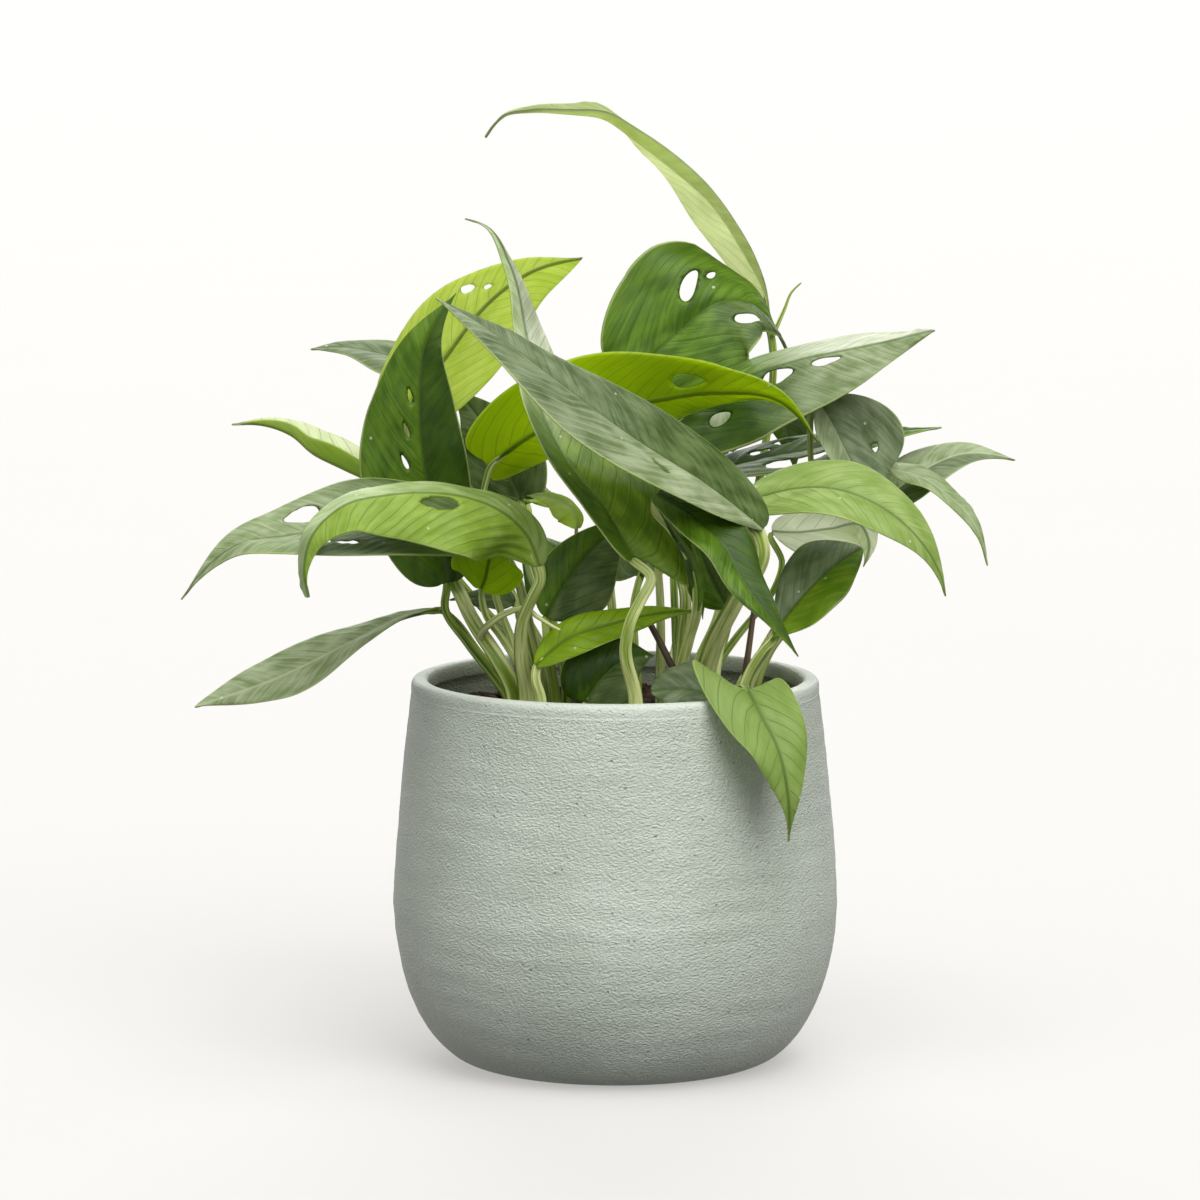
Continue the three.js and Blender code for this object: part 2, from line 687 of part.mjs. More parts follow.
class Blade {
  constructor(leaf) {
    Object.assign(this, BLADE_DEFAULTS, leaf);
    for (const key of ['widest', 'blunt', 'point', 'lobe']) {
      this[key] = [this[key]].flat();
      this[key] = [this[key][0], this[key].at(-1)];
    }
    this.spine = new Spine(this.midrib);
    this.looks = this.facing.map((look) => new THREE.Vector3(...look).normalize());
  }

  halfWidth(along, half) {
    const widest = this.widest[half];
    if (along < widest) {
      return this.width[half] * (1 - (1 - along / widest) ** 2) ** this.blunt[half];
    }
    const rest = (along - widest) / (1 - widest);
    return this.width[half] * Math.max(0, 1 - rest ** TIP_CURVE) ** this.point[half];
  }

  look(along) {
    const place = THREE.MathUtils.clamp(along, 0, 1) * (this.looks.length - 1);
    const i = Math.min(Math.floor(place), this.looks.length - 2);
    const blend = THREE.MathUtils.smoothstep(place - i, 0, 1);
    return this.looks[i].clone().lerp(this.looks[i + 1], blend);
  }

  frame(along) {
    const forward = this.spine.direction(along);
    const up = this.look(along);
    up.addScaledVector(forward, -up.dot(forward)).normalize();
    const side = new THREE.Vector3().crossVectors(forward, up);
    return { forward, up, side };
  }

  at(along, across) {
    const half = across >= 0 ? 1 : 0;
    const sign = across >= 0 ? 1 : -1;
    const back = (along / LOBE_PLACE) * Math.exp(1 - along / LOBE_PLACE);
    const share = along - this.lobe[half] * back * Math.abs(across) ** LOBE_CURVE;
    const { up, side } = this.frame(share);
    const reach = Math.abs(across) * this.halfWidth(along, half);
    const fold = THREE.MathUtils.degToRad(this.fold);
    const bend = Math.max(THREE.MathUtils.degToRad(this.curl) * Math.abs(across), LEAST_BEND);
    const out = (reach / bend) * (Math.sin(fold) - Math.sin(fold - bend));
    const arch = (reach / bend) * (Math.cos(fold - bend) - Math.cos(fold));
    const ends = Math.min(1, WAVE_FADE_AT_TIP * (1 - along)) * Math.min(1, WAVE_FADE_AT_BASE * along);
    const swing = Math.sin(2 * Math.PI * WAVES * along + WAVE_START[half]);
    const rise = arch + this.wave * across ** 2 * swing * ends;
    return this.spine.getPoint(share).addScaledVector(side, sign * out).addScaledVector(up, rise);
  }

  normal(along, across) {
    const a = THREE.MathUtils.clamp(along, 1.5 * STEP_ALONG, 1 - 1.5 * STEP_ALONG);
    const b = THREE.MathUtils.clamp(across, STEP_ACROSS - 1, 1 - STEP_ACROSS);
    const lengthwise = this.at(a + STEP_ALONG, b).sub(this.at(a - STEP_ALONG, b));
    const crosswise = this.at(a, b + STEP_ACROSS).sub(this.at(a, b - STEP_ACROSS));
    return crosswise.cross(lengthwise).normalize();
  }
}

// The blade as a thin closed body, split into the same triangles on its upper and its lower face.

function bladeSolid(blade) {
  const { rows, columns } = blade.grid;
  const positions = [];
  const points = { 1: [], '-1': [] };
  for (const face of [1, -1]) {
    for (const row of rows) {
      points[face].push(columns.map((column) => {
        const across = row === 0 || row === 1 ? 0 : column;
        const offset = (face * BLADE_THICKNESS) / 2;
        return blade.at(row, across).addScaledVector(blade.normal(row, across), offset);
      }));
    }
  }
  const triangle = (a, b, c) => {
    for (const corner of [a, b, c]) {
      positions.push(corner.x, corner.y, corner.z);
    }
  };
  const quad = (a, b, c, d) => {
    triangle(a, b, c);
    triangle(a, c, d);
  };
  const top = points[1];
  const under = points[-1];
  const last = columns.length - 1;
  for (let i = 0; i < rows.length - 1; i += 1) {
    for (let j = 0; j < last; j += 1) {
      quad(top[i][j], top[i][j + 1], top[i + 1][j + 1], top[i + 1][j]);
      triangle(under[i][j], under[i + 1][j + 1], under[i][j + 1]);
      triangle(under[i][j], under[i + 1][j], under[i + 1][j + 1]);
    }
    quad(top[i][0], top[i + 1][0], under[i + 1][0], under[i][0]);
    quad(top[i + 1][last], top[i][last], under[i][last], under[i + 1][last]);
  }
  const geometry = new THREE.BufferGeometry();
  geometry.setAttribute('position', new THREE.Float32BufferAttribute(positions, 3));
  return solid(geometry);
}

// An oval rod square to the blade, which cuts one of its holes.

function holeSolid(blade, [along, across, length, width, turn]) {
  const normal = blade.normal(along, across);
  const before = blade.at(along - STEP_ALONG, across);
  const lengthwise = blade.at(along + STEP_ALONG, across).sub(before).normalize();
  lengthwise.applyAxisAngle(normal, THREE.MathUtils.degToRad(turn));
  const crosswise = new THREE.Vector3().crossVectors(normal, lengthwise);
  const rod = new THREE.CylinderGeometry(1, 1, 2 * HOLE_REACH, HOLE_SIDES);
  rod.scale(width / 2, 1, length / 2);
  rod.applyMatrix4(new THREE.Matrix4().makeBasis(crosswise, normal, lengthwise));
  const centre = blade.at(along, across);
  rod.translate(centre.x, centre.y, centre.z);
  return solid(rod);
}

function tube(points, radius, steps) {
  const section = new THREE.Shape();
  for (let i = 0; i < STALK_SIDES; i += 1) {
    const angle = (i / STALK_SIDES) * 2 * Math.PI;
    const corner = [radius * Math.cos(angle), radius * Math.sin(angle)];
    if (i === 0) {
      section.moveTo(...corner);
    } else {
      section.lineTo(...corner);
    }
  }
  section.closePath();
  const path = new Spine(points);
  return solid(new THREE.ExtrudeGeometry(section, { steps, bevelEnabled: false, extrudePath: path }));
}

function post([x, y], radius, bottom, top) {
  const rod = new THREE.CylinderGeometry(radius, radius, top - bottom, STALK_SIDES);
  rod.rotateX(Math.PI / 2);
  rod.translate(x, y, (bottom + top) / 2);
  return solid(rod);
}

// A stalk bends down to the soil and ends in a straight root part, and the soil has a hole round that.

const soilHoles = [];

function stalkSolid(points, radius, steps) {
  const foot = points.at(-1);
  const end = [foot[0], foot[1], SOIL_TOP + STALK_COLLAR - 1];
  const thick = radius * ROOT_SWELL;
  const hole = post(foot, thick + CLEARANCE, SOIL_TOP - STALK_ROOT - CLEARANCE, SOIL_TOP + 2 * SOIL_SWELL);
  soilHoles.push(hole);
  const root = post(foot, thick, SOIL_TOP - STALK_ROOT, SOIL_TOP + STALK_COLLAR);
  return tube([...points, end], radius, steps).add(root);
}

function leafSolid(leaf) {
  const blade = new Blade(leaf);
  let body = bladeSolid(blade);
  for (const hole of blade.holes) {
    body = body.subtract(holeSolid(blade, hole));
  }
  const joint = JOINT_PLACES.map((along) => {
    const drop = -JOINT_DEPTH * blade.stalkRadius;
    return blade.at(along, 0).addScaledVector(blade.frame(along).up, drop).toArray();
  });
  body = body.add(stalkSolid([...joint, ...blade.stalk], blade.stalkRadius, blade.stalkSteps));
  for (const shoot of blade.shoots) {
    body = body.add(tube(shoot.points, shoot.radius, STALK_STEPS));
  }
  if (blade.sheath) {
    body = body.add(bladeSolid(new Blade(blade.sheath)));
  }
  return body;
}

// The pot: a rounded lower part, a gently narrowing shoulder and a half-round lip.

function outerRadius(height) {
  if (height < POT_BELLY_HEIGHT) {
    const drop = 1 - height / POT_BELLY_HEIGHT;
    return POT_FOOT_RADIUS + (POT_BELLY_RADIUS - POT_FOOT_RADIUS) * Math.sqrt(1 - drop ** 2);
  }
  const rise = (height - POT_BELLY_HEIGHT) / (POT_HEIGHT - POT_LIP_HEIGHT - POT_BELLY_HEIGHT);
  return POT_BELLY_RADIUS - (POT_BELLY_RADIUS - POT_SHOULDER_RADIUS) * rise ** POT_SHOULDER_CURVE;
}

function potGeometry() {
  const shoulder = POT_HEIGHT - POT_LIP_HEIGHT;
  const outer = POT_OUTER_HEIGHTS.map((height) => new THREE.Vector2(outerRadius(height), height));
  const lipCentre = outerRadius(shoulder) - POT_WALL / 2;
  const lip = POT_LIP_ANGLES.map((degrees) => {
    const angle = THREE.MathUtils.degToRad(degrees);
    const radius = lipCentre + (POT_WALL / 2) * Math.cos(angle);
    return new THREE.Vector2(radius, shoulder + POT_LIP_HEIGHT * Math.sin(angle));
  });
  const inner = innerWall(0).reverse();
  const profile = [new THREE.Vector2(0, 0), ...outer, ...lip, ...inner, new THREE.Vector2(0, POT_FLOOR)];
  return new THREE.LatheGeometry(profile, POT_SIDES);
}

function innerWall(gap) {
  return POT_INNER_HEIGHTS.map((height) => {
    const radius = outerRadius(height) - POT_WALL - gap;
    return new THREE.Vector2(radius, Math.max(height, POT_FLOOR + gap));
  });
}

// The soil fills the pot to a slightly uneven top with a plain hole for every stalk.

function soilSolid() {
  const wall = innerWall(SOIL_GAP).filter((point) => point.y < SOIL_TOP);
  const edge = outerRadius(SOIL_TOP) - POT_WALL - SOIL_EDGE_GAP;
  const top = SOIL_RINGS.map((share) => new THREE.Vector2(share * edge, SOIL_TOP));
  const profile = [new THREE.Vector2(0, POT_FLOOR + SOIL_GAP), ...wall, ...top];
  const geometry = new THREE.LatheGeometry(profile, POT_SIDES);
  const corners = geometry.attributes.position;
  for (let i = 0; i < corners.count; i += 1) {
    const radius = Math.hypot(corners.getX(i), corners.getZ(i));
    if (corners.getY(i) > SOIL_TOP - 1 && radius > 1) {
      const across = Math.sin(corners.getX(i) / SOIL_SWELL_ACROSS);
      const deep = Math.cos(corners.getZ(i) / SOIL_SWELL_DEEP);
      corners.setY(i, SOIL_TOP + SOIL_SWELL * across * deep);
    }
  }
  geometry.rotateX(Math.PI / 2);
  let body = solid(geometry);
  for (const hole of soilHoles) {
    body = body.subtract(hole);
  }
  return body;
}

function part(name, geometry, colour, roughness = PLANT_ROUGHNESS) {
  const material = new THREE.MeshStandardMaterial({ color: COLOURS[colour], roughness, metalness: 0 });
  const mesh = new THREE.Mesh(geometry, material);
  mesh.name = name;
  return mesh;
}

const plant = new THREE.Group();

for (const leaf of LEAVES) {
  plant.add(part(`leaf_${leaf.name}`, geometryOf(leafSolid(leaf)), leaf.colour));
}

for (const stem of STEMS) {
  plant.add(part(stem.name, geometryOf(stalkSolid(stem.points, stem.radius, STALK_STEPS)), stem.colour));
}

const pot = potGeometry();
pot.rotateX(Math.PI / 2);
plant.add(part('pot', geometryOf(solid(pot)), 'pot', POT_ROUGHNESS));
plant.add(part('soil', geometryOf(soilSolid()), 'soil', SOIL_ROUGHNESS));

export default plant;
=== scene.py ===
import math

import bpy
import numpy as np
from mathutils import Matrix, Vector
from mathutils.geometry import delaunay_2d_cdt


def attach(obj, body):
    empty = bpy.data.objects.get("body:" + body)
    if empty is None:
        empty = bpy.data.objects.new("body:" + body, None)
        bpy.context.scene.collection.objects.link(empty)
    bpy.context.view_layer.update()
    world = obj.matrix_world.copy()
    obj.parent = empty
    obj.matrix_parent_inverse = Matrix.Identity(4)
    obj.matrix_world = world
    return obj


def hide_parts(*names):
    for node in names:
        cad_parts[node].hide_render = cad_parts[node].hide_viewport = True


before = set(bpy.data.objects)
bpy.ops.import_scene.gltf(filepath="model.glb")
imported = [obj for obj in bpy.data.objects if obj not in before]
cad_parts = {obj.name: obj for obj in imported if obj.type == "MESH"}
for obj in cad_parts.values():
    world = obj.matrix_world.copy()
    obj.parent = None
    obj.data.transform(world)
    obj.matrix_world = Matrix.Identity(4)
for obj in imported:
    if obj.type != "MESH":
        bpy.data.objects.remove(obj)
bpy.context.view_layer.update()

MM = 0.001

# Millimetres in one unit of the places that the leaf materials read.

FLOW_UNIT = 100

# The pot and the soil. Sizes are in millimetres until a mesh is made from them.

POT_HEIGHT = 157
POT_FOOT_RADIUS = 56
POT_BELLY_RADIUS = 90.3
POT_BELLY_HEIGHT = 67
POT_SHOULDER_RADIUS = 82.8
POT_WALL = 7
POT_FLOOR = 10
POT_LIP_HEIGHT = 5.5
SOIL_TOP = 141
SOIL_BOTTOM = 120
SOIL_GAP = 0.7

# A stalk goes straight down from the first of these heights to the second, which is in the soil.

STALK_ENDS = (143, 136)

# The leaf blades: their thickness, the quilting between side veins, the groove over the midrib, slow humps
# and how far apart they are, and the side veins' spacing, slant and forward sweep.

BLADE_THICKNESS = 0.7
QUILTING = 0.36
MIDRIB_GROOVE = 0.5
LEAF_HUMPS = 0.6
HUMP_SIZE = 26
VEIN_SPACING = 7.5
VEIN_SLANT = 1.1
VEIN_SWEEP = 0.022
HOLE_TAPER = 0.3
HOLE_CORNERS = 28

# Each leaf has a midrib from its base to its tip, the way its upper face looks at stations along the
# midrib, its half widths to the left and right, and its stalk from the base down to the soil.
# Where given, a pair of numbers is for the left and the right half.
# A hole is [share along, share across, length, width, turn from the midrib in degrees].

LEAVES = [
    dict(
        name="crown", colour="grey",
        midrib=[[65, 90, 298], [64, 86, 307], [59, 80, 322], [50, 72, 338], [38, 63, 354], [25, 55, 366],
            [11, 48, 376], [-4, 41, 384], [-18, 36, 385], [-35, 31, 385], [-45, 28, 383], [-53, 25, 374]],
        facing=[[9, 3, 3], [9, 1, 4], [6, -2, 6], [-1, -8, 4], [-3, -9, -1]],
        width=[7, 21], widest=0.36, point=1.7, lobe=0, fold=-40, curl=10,
        stalk=[[66, 88, 285], [64, 86, 250], [57, 70, 214], [48, 46, 179], [41, 26, 159], [36, 16, 149]],
        stalkRadius=1.5,
        shoots=[
            dict(radius=0.9, points=[[66, 86, 289], [71, 88, 300], [74, 89, 307], [78, 89, 311]]),
        ],
    ),
    dict(
        name="long", colour="dark",
        midrib=[[7, -48, 211], [-6, -40, 232], [-21, -28, 250], [-31, -16, 270], [-36, -4, 296],
            [-43, 0, 325], [-52, 1, 340], [-61, 2, 343]],
        facing=[[5, -7, 3], [6, -7, 3], [4, -8, 2]],
        width=[15, 26], widest=[0.3, 0.2], point=[1.3, 2.4], lobe=[0.05, 0.2], fold=28, curl=10,
        stalk=[[14, -52, 203], [10, -54, 195], [6, -56, 187], [4, -55, 177], [8, -50, 154]],
        stalkRadius=1.9,
    ),
    dict(
        name="front", colour="grey",
        midrib=[[59, -46, 222], [40, -54, 238], [6, -64, 261], [-26, -66, 285], [-49, -62, 302],
            [-71, -54, 315]],
        facing=[[4, -5, 7], [5, -5, 7], [5, -4, 7]],
        width=[26, 26], widest=[0.55, 0.3], blunt=[0.8, 0.6], point=[1.2, 1.4], lobe=[0, 0.05],
        holes=[[0.33, -0.38, 8, 2, -30]],
        stalk=[[58, -45, 215], [47, -42, 192], [41, -38, 180], [36, -31, 164], [34, -27, 151]],
        stalkRadius=3,
    ),
    dict(
        name="upright", colour="dark",
        midrib=[[-68, 0, 195], [-75, -1, 229], [-79, -2, 266], [-76, -2, 294], [-64, 2, 313]],
        facing=[[0, -9, 2], [-1, -9, 1], [-3, -9, 0]],
        width=[27, 18], widest=0.4, blunt=0.5, point=[1.5, 1.3], lobe=0.03, fold=12,
        holes=[[0.63, -0.2, 6, 1.6, 20], [0.52, -0.23, 6, 1.6, 20], [0.42, -0.28, 6, 1.6, 20]],
        stalk=[[-69, -4, 185], [-60, -8, 172], [-47, -14, 156], [-43, -18, 150]],
        stalkRadius=1.6,
    ),
    dict(
        name="backlit", colour="yellow",
        midrib=[[-86, 22, 264], [-69, 24, 286], [-55, 26, 304], [-36, 26, 319], [-13, 22, 326]],
        facing=[[-3, 8, 5], [-3, 8, 5]],
        width=[28, 25], widest=[0.4, 0.32], point=[0.9, 1.7],
        holes=[[0.54, 0.6, 5, 4, 20], [0.6, 0.34, 3, 2, 20]],
        stalk=[[-84, 20, 258], [-77, 14, 228], [-70, 9, 204], [-64, 4, 192], [-55, -18, 178],
            [-48, -22, 168], [-41, -23, 153]],
        stalkRadius=2.2,
        shoots=[
            dict(radius=1.7, points=[[-54, -18, 175], [-51, -31, 182], [-43, -37, 188], [-36, -40, 190],
                [-31, -43, 187], [-26, -45, 184], [-22, -46, 182]]),
        ],
    ),
    dict(
        name="far_left", colour="grey",
        midrib=[[-72, 55, 276], [-91, 58, 282], [-110, 58, 286], [-126, 55, 286]],
        facing=[[-2, -3, 9], [0, -3, 9]],
        width=[22, 14], wave=0.3,
        stalk=[[-66, 64, 266], [-60, 60, 231], [-45, 42, 191], [-25, 18, 149]],
    ),
    dict(
        name="left_tip", colour="light",
        midrib=[[-98, 30, 234], [-113, 34, 240], [-124, 37, 245], [-133, 40, 252], [-145, 41, 256],
            [-158, 42, 256]],
        facing=[[1, -1, 9], [1, -1, 9]],
        width=[12, 12], wave=0.3,
        stalk=[[-84, 34, 227], [-69, 36, 198], [-52, 32, 178], [-37, 22, 163], [-31, 14, 149]],
        fold=52, curl=10, point=1.7,
    ),
    dict(
        name="big_left", colour="grey",
        midrib=[[-46, -28, 216], [-78, -40, 221], [-109, -48, 222], [-131, -50, 220], [-150, -50, 216],
            [-173, -46, 194]],
        facing=[[0, -4, 8], [0, -4, 8], [-4, -5, 7]],
        width=[32, 30], widest=0.34, blunt=[0.9, 0.6], point=[1.7, 1.9], fold=25, curl=25,
        holes=[[0.58, 0.46, 14, 8, 0], [0.53, -0.52, 5, 2, 0], [0.475, -0.6, 8, 2, -15]],
        stalk=[[-42, -20, 205], [-34, -10, 175], [-29, -6, 148]],
        stalkRadius=1.8,
    ),
    dict(
        name="arching", colour="light",
        midrib=[[-30, -52, 208], [-35, -56, 221], [-48, -62, 233], [-68, -68, 239], [-90, -74, 239],
            [-107, -78, 235], [-119, -80, 223], [-122, -80, 210], [-120, -80, 199]],
        facing=[[2, -9, 4], [0, -6, 8], [-2, -6, 8], [-7, -6, 3]],
        width=[25, 16], lobe=[0, 0.03], fold=-22, curl=10,
        holes=[[0.41, -0.18, 15, 5, 0]],
        stalk=[[-30, -49, 203], [-33, -48, 196], [-37, -44, 186], [-38, -36, 172], [-36, -28, 153]],
        stalkRadius=2.2, point=[1.6, 0.45], widest=[0.34, 0.4], blunt=[0.7, 0.6], wave=0.3,
    ),
    dict(
        name="low_left", colour="dark",
        midrib=[[-70, 4, 185], [-86, -2, 182], [-105, -8, 173], [-139, -14, 157], [-170, -18, 147]],
        facing=[[-3, -1, 9], [-3, -4, 8], [-3, -6, 7], [-3, -6, 7]],
        width=[14, 14], widest=[0.64, 0.6], blunt=[2.2, 1.4], lobe=0,
        stalk=[[-66, 5, 180], [-56, 3, 167], [-47, 0, 156], [-42, -3, 145]],
        stalkRadius=1.3, point=[1.5, 1],
    ),
    dict(
        name="over", colour="yellow",
        midrib=[[-52, 16, 241], [-34, 18, 254], [-10, 18, 263], [15, 14, 268], [42, 8, 272],
            [67, 0, 269], [82, -4, 253]],
        facing=[[-4, 9, 3], [0, 9, 4], [4, 6, 7]],
        width=[15, 26], widest=[0.25, 0.33], blunt=[0.6, 0.4], point=[1.7, 1.5], lobe=0.06,
        holes=[[0.6, 0.34, 13, 6, 0]],
        stalk=[[-53, 14, 234], [-51, 4, 204], [-48, 0, 188], [-43, -4, 175], [-38, -10, 161],
            [-33, -14, 149]],
        stalkRadius=1.2,
    ),
    dict(
        name="fenestrated", colour="dark",
        midrib=[[9, 49, 277], [25, 53, 292], [44, 59, 305], [56, 66, 304], [66, 72, 294], [73, 77, 281]],
        facing=[[-2, -9, 0], [0, -9, 3], [4, -4, 7], [7, 0, 6]],
        width=[35, 31], widest=[0.4, 0.35], blunt=[0.7, 1], point=[2.7, 1.2], lobe=0.12,
        holes=[[0.42, -0.36, 13, 5, 48], [0.6, 0.5, 16, 5, -20], [0.51, -0.42, 5, 2, 45]],
        stalk=[[6, 44, 266], [8, 32, 243], [13, 16, 223], [21, 6, 210], [28, 0, 192], [27, -3, 172],
            [25, -6, 152]],
        stalkRadius=1.8,
    ),
    dict(
        name="big_right", colour="dark",
        midrib=[[24, 24, 257], [51, 26, 276], [75, 24, 284], [102, 20, 290], [130, 14, 297]],
        facing=[[-2, -5.6, 8], [-2, -5.6, 8]],
        width=[22, 29], widest=[0.55, 0.32], blunt=[0.9, 0.6], point=1.1, fold=-18, curl=10,
        holes=[[0.42, 0.17, 13, 6, 0], [0.6, 0.16, 12, 3, 0], [0.165, 0.43, 9, 5, 0]],
        stalk=[[22, 26, 251], [23, 20, 219], [24, 14, 191], [25, 9, 167], [26, 5, 151]],
        stalkRadius=1.2,
    ),
    dict(
        name="grey_right", colour="grey",
        midrib=[[83, 30, 267], [89, 27, 257], [94, 24, 247], [100, 20, 235], [108, 16, 224]],
        facing=[[3, -8, 5], [4, -8, 5], [5, -7, 4]],
        width=[30, 10], widest=[0.45, 0.4], lobe=0,
        holes=[[0.52, -0.45, 3.5, 3, 0]],
        stalk=[[82, 34, 265], [81, 40, 222], [80, 44, 204], [70, 33, 180], [59, 22, 162], [51, 16, 149]],
        stalkRadius=1.2,
    ),
    dict(
        name="light_right", colour="light",
        midrib=[[57, -14, 231], [74, -20, 236], [93, -28, 235], [115, -34, 223], [127, -36, 208],
            [132, -36, 194]],
        facing=[[1, -5, 8], [3, -6, 8], [7, -5, 5]],
        width=[19, 20], widest=0.36,
        stalk=[[55, -9, 224], [52, -4, 205], [48, -3, 187], [43, -5, 173], [40, -11, 153]],
        stalkRadius=1.6,
    ),
    dict(
        name="far_right", colour="dark",
        midrib=[[110, 50, 222], [127, 54, 235], [144, 56, 242], [166, 54, 240]],
        facing=[[0, -4, 8], [1, -4, 8]],
        width=[14, 14], wave=0.3,
        stalk=[[104, 50, 215], [89, 46, 193], [74, 42, 175], [63, 36, 161], [58, 30, 147]],
        stalkRadius=1.3,
    ),
    dict(
        name="drooping_right", colour="light",
        midrib=[[109, 42, 238], [126, 38, 234], [137, 32, 227], [147, 28, 216], [153, 26, 199]],
        facing=[[2, -4, 8], [6, -4, 6], [8, -4, 2]],
        width=[9, 9], lobe=0, wave=0.3,
        stalk=[[102, 42, 232], [91, 38, 204], [76, 34, 180], [62, 28, 162], [55, 23, 148]],
        stalkRadius=1.2,
    ),
    dict(
        name="slitted", colour="dark",
        midrib=[[45, 50, 237], [72, 56, 242], [97, 60, 247], [136, 62, 253]],
        facing=[[-1, -2, 9], [-1, -2, 9]],
        width=[18, 26], wave=0.3,
        holes=[[0.33, -0.62, 9, 4, 0], [0.2, -0.36, 8, 2.5, 0], [0.34, 0.6, 30, 8, 0]],
        stalk=[[44, 48, 229], [46, 44, 200], [42, 38, 176], [34, 32, 158], [31, 26, 148]],
    ),
    dict(
        name="silver", colour="grey",
        midrib=[[64, 20, 214], [74, 24, 213], [88, 28, 214], [101, 31, 215], [104, 31, 209],
            [102, 30, 198]],
        facing=[[-1, -6, 7], [-1, -6, 7], [4, -7, 3]],
        width=[13, 17], lobe=0,
        stalk=[[68, 16, 202], [64, 12, 190], [55, 8, 179], [49, 5, 172], [42, 2, 162], [38, -1, 152]],
        stalkRadius=1.2,
    ),
    dict(
        name="rolled", colour="dark",
        midrib=[[62, -18, 174], [74, -16, 190], [87, -10, 202], [100, -4, 210]],
        facing=[[-5, -7, 2], [-5, -7, 3]],
        width=[18, 16], widest=[0.66, 0.5], blunt=[1.6, 1.1], point=0.8, lobe=0,
        stalk=[[60, -18, 171], [55, -19, 164], [51, -20, 154]],
        stalkRadius=1.5,
    ),
    dict(
        name="glossy", colour="dark",
        midrib=[[16, -42, 236], [31, -54, 228], [43, -64, 217], [50, -70, 204], [61, -74, 190],
            [72, -74, 175]],
        facing=[[4, -7, 5], [4, -8, 4], [5, -8, 3]],
        width=[14, 11], lobe=0.03,
        stalk=[[16, -46, 230], [22, -52, 223], [29, -55, 212], [32, -54, 201], [32, -50, 190],
            [29, -43, 178], [25, -35, 157]],
        stalkRadius=1.7,
        sheath=dict(
            midrib=[[32, -51, 190], [32, -55, 201], [29, -56, 212], [22, -53, 223], [17, -48, 230]],
            facing=[[-2, -9, 2], [-2, -9, 2]], width=[3.2, 3.2], lobe=0,
        ),
    ),
    dict(
        name="over_rim", colour="light",
        midrib=[[52, -68, 161], [57, -76, 152], [63, -82, 141], [67, -86, 124], [68, -84, 103]],
        facing=[[2, -6, 7], [4, -8, 4], [4, -9, 1]],
        width=[18, 19], widest=[0.16, 0.16], blunt=[0.3, 0.3], point=[1.7, 2], lobe=[0.1, 0.35],
        stalk=[[51, -60, 161], [47, -50, 159], [42, -42, 155]],
    ),
    dict(
        name="rumpled", colour="grey",
        midrib=[[39, -57, 156], [30, -53, 159], [21, -51, 159], [14, -50, 158]],
        facing=[[0, -7, 7], [-2, -7, 7]],
        width=[10, 13],
        stalk=[[42, -52, 154], [43, -48, 152]],
        stalkRadius=1.2, widest=0.5, point=0.7, wave=1.2,
    ),
    dict(
        name="bright_low", colour="yellow",
        midrib=[[-32, -42, 167], [-20, -40, 177], [-2, -36, 183], [18, -34, 187], [35, -32, 188]],
        facing=[[1, -7, 6], [1, -7, 6]],
        width=[8, 9], lobe=0,
        stalk=[[-32, -41, 163], [-30, -40, 154]],
        stalkRadius=1.8,
    ),
    dict(
        name="dark_center", colour="dark",
        midrib=[[-28, -22, 184], [-19, -20, 199], [-9, -16, 211], [9, -8, 224]],
        facing=[[2, -8, 4], [1, -8, 4]],
        width=[13, 19], lobe=0,
        stalk=[[-28, -22, 178], [-26, -21, 165], [-24, -19, 150]],
    ),
    dict(
        name="small_yellow", colour="yellow",
        midrib=[[-54, -28, 196], [-52, -31, 201], [-51, -34, 206], [-49, -37, 215]],
        facing=[[0, -9, 2], [0, -9, 2]],
        width=[15, 15], widest=0.55, lobe=0,
        stalk=[[-52, -24, 185], [-46, -22, 176], [-40, -21, 166], [-36, -19, 150]],
        stalkRadius=1.3,
    ),
    dict(
        name="dark_low", colour="dark",
        midrib=[[-41, 14, 185], [-49, 16, 187], [-57, 18, 187], [-68, 20, 186]],
        facing=[[0, -6, 8], [0, -6, 8]],
        width=[7, 7], lobe=0,
        stalk=[[-39, 13, 178], [-34, 9, 165], [-29, 5, 151]],
        stalkRadius=1.2,
    ),
    dict(
        name="dark_behind", colour="dark",
        midrib=[[-39, 40, 225], [-47, 44, 243], [-57, 48, 259], [-67, 50, 271]],
        facing=[[-2, -9, 3], [-2, -9, 3]],
        width=[17, 17],
        stalk=[[-38, 36, 217], [-29, 22, 186], [-20, 8, 150]],
    ),
    dict(
        name="pot_mouth", colour="dark",
        midrib=[[-12, -34, 151], [-6, -34, 160], [4, -32, 168], [16, -26, 169]],
        facing=[[0, -8, 4], [0, -8, 4]],
        width=[17, 17],
        stalk=[[-13, -33, 148]],
    ),
    dict(
        name="little_curl", colour="yellow",
        midrib=[[-15, 2, 217], [-17, 2, 225], [-23, 2, 229], [-36, 0, 231]],
        facing=[[3, -4, 7], [2, -5, 8], [0, -4, 8]],
        width=[9, 9], lobe=0, fold=-20, curl=10,
        stalk=[[-14, 2, 206], [-13, 2, 180], [-11, 0, 151]],
        stalkRadius=1.2,
    ),
    dict(
        name="grey_center", colour="grey",
        midrib=[[45, -12, 187], [40, -14, 196], [35, -14, 208], [31, -12, 220]],
        facing=[[-2, -9, 2], [-2, -9, 2]],
        width=[11, 11], lobe=0,
        stalk=[[45, -14, 185], [40, -20, 171], [34, -22, 155]],
        stalkRadius=1.2,
    ),
    dict(
        name="under_front", colour="dark",
        midrib=[[16, -6, 230], [10, -2, 238], [4, 2, 247], [-2, 6, 257]],
        facing=[[1, -9, 3], [1, -9, 3]],
        width=[15, 15],
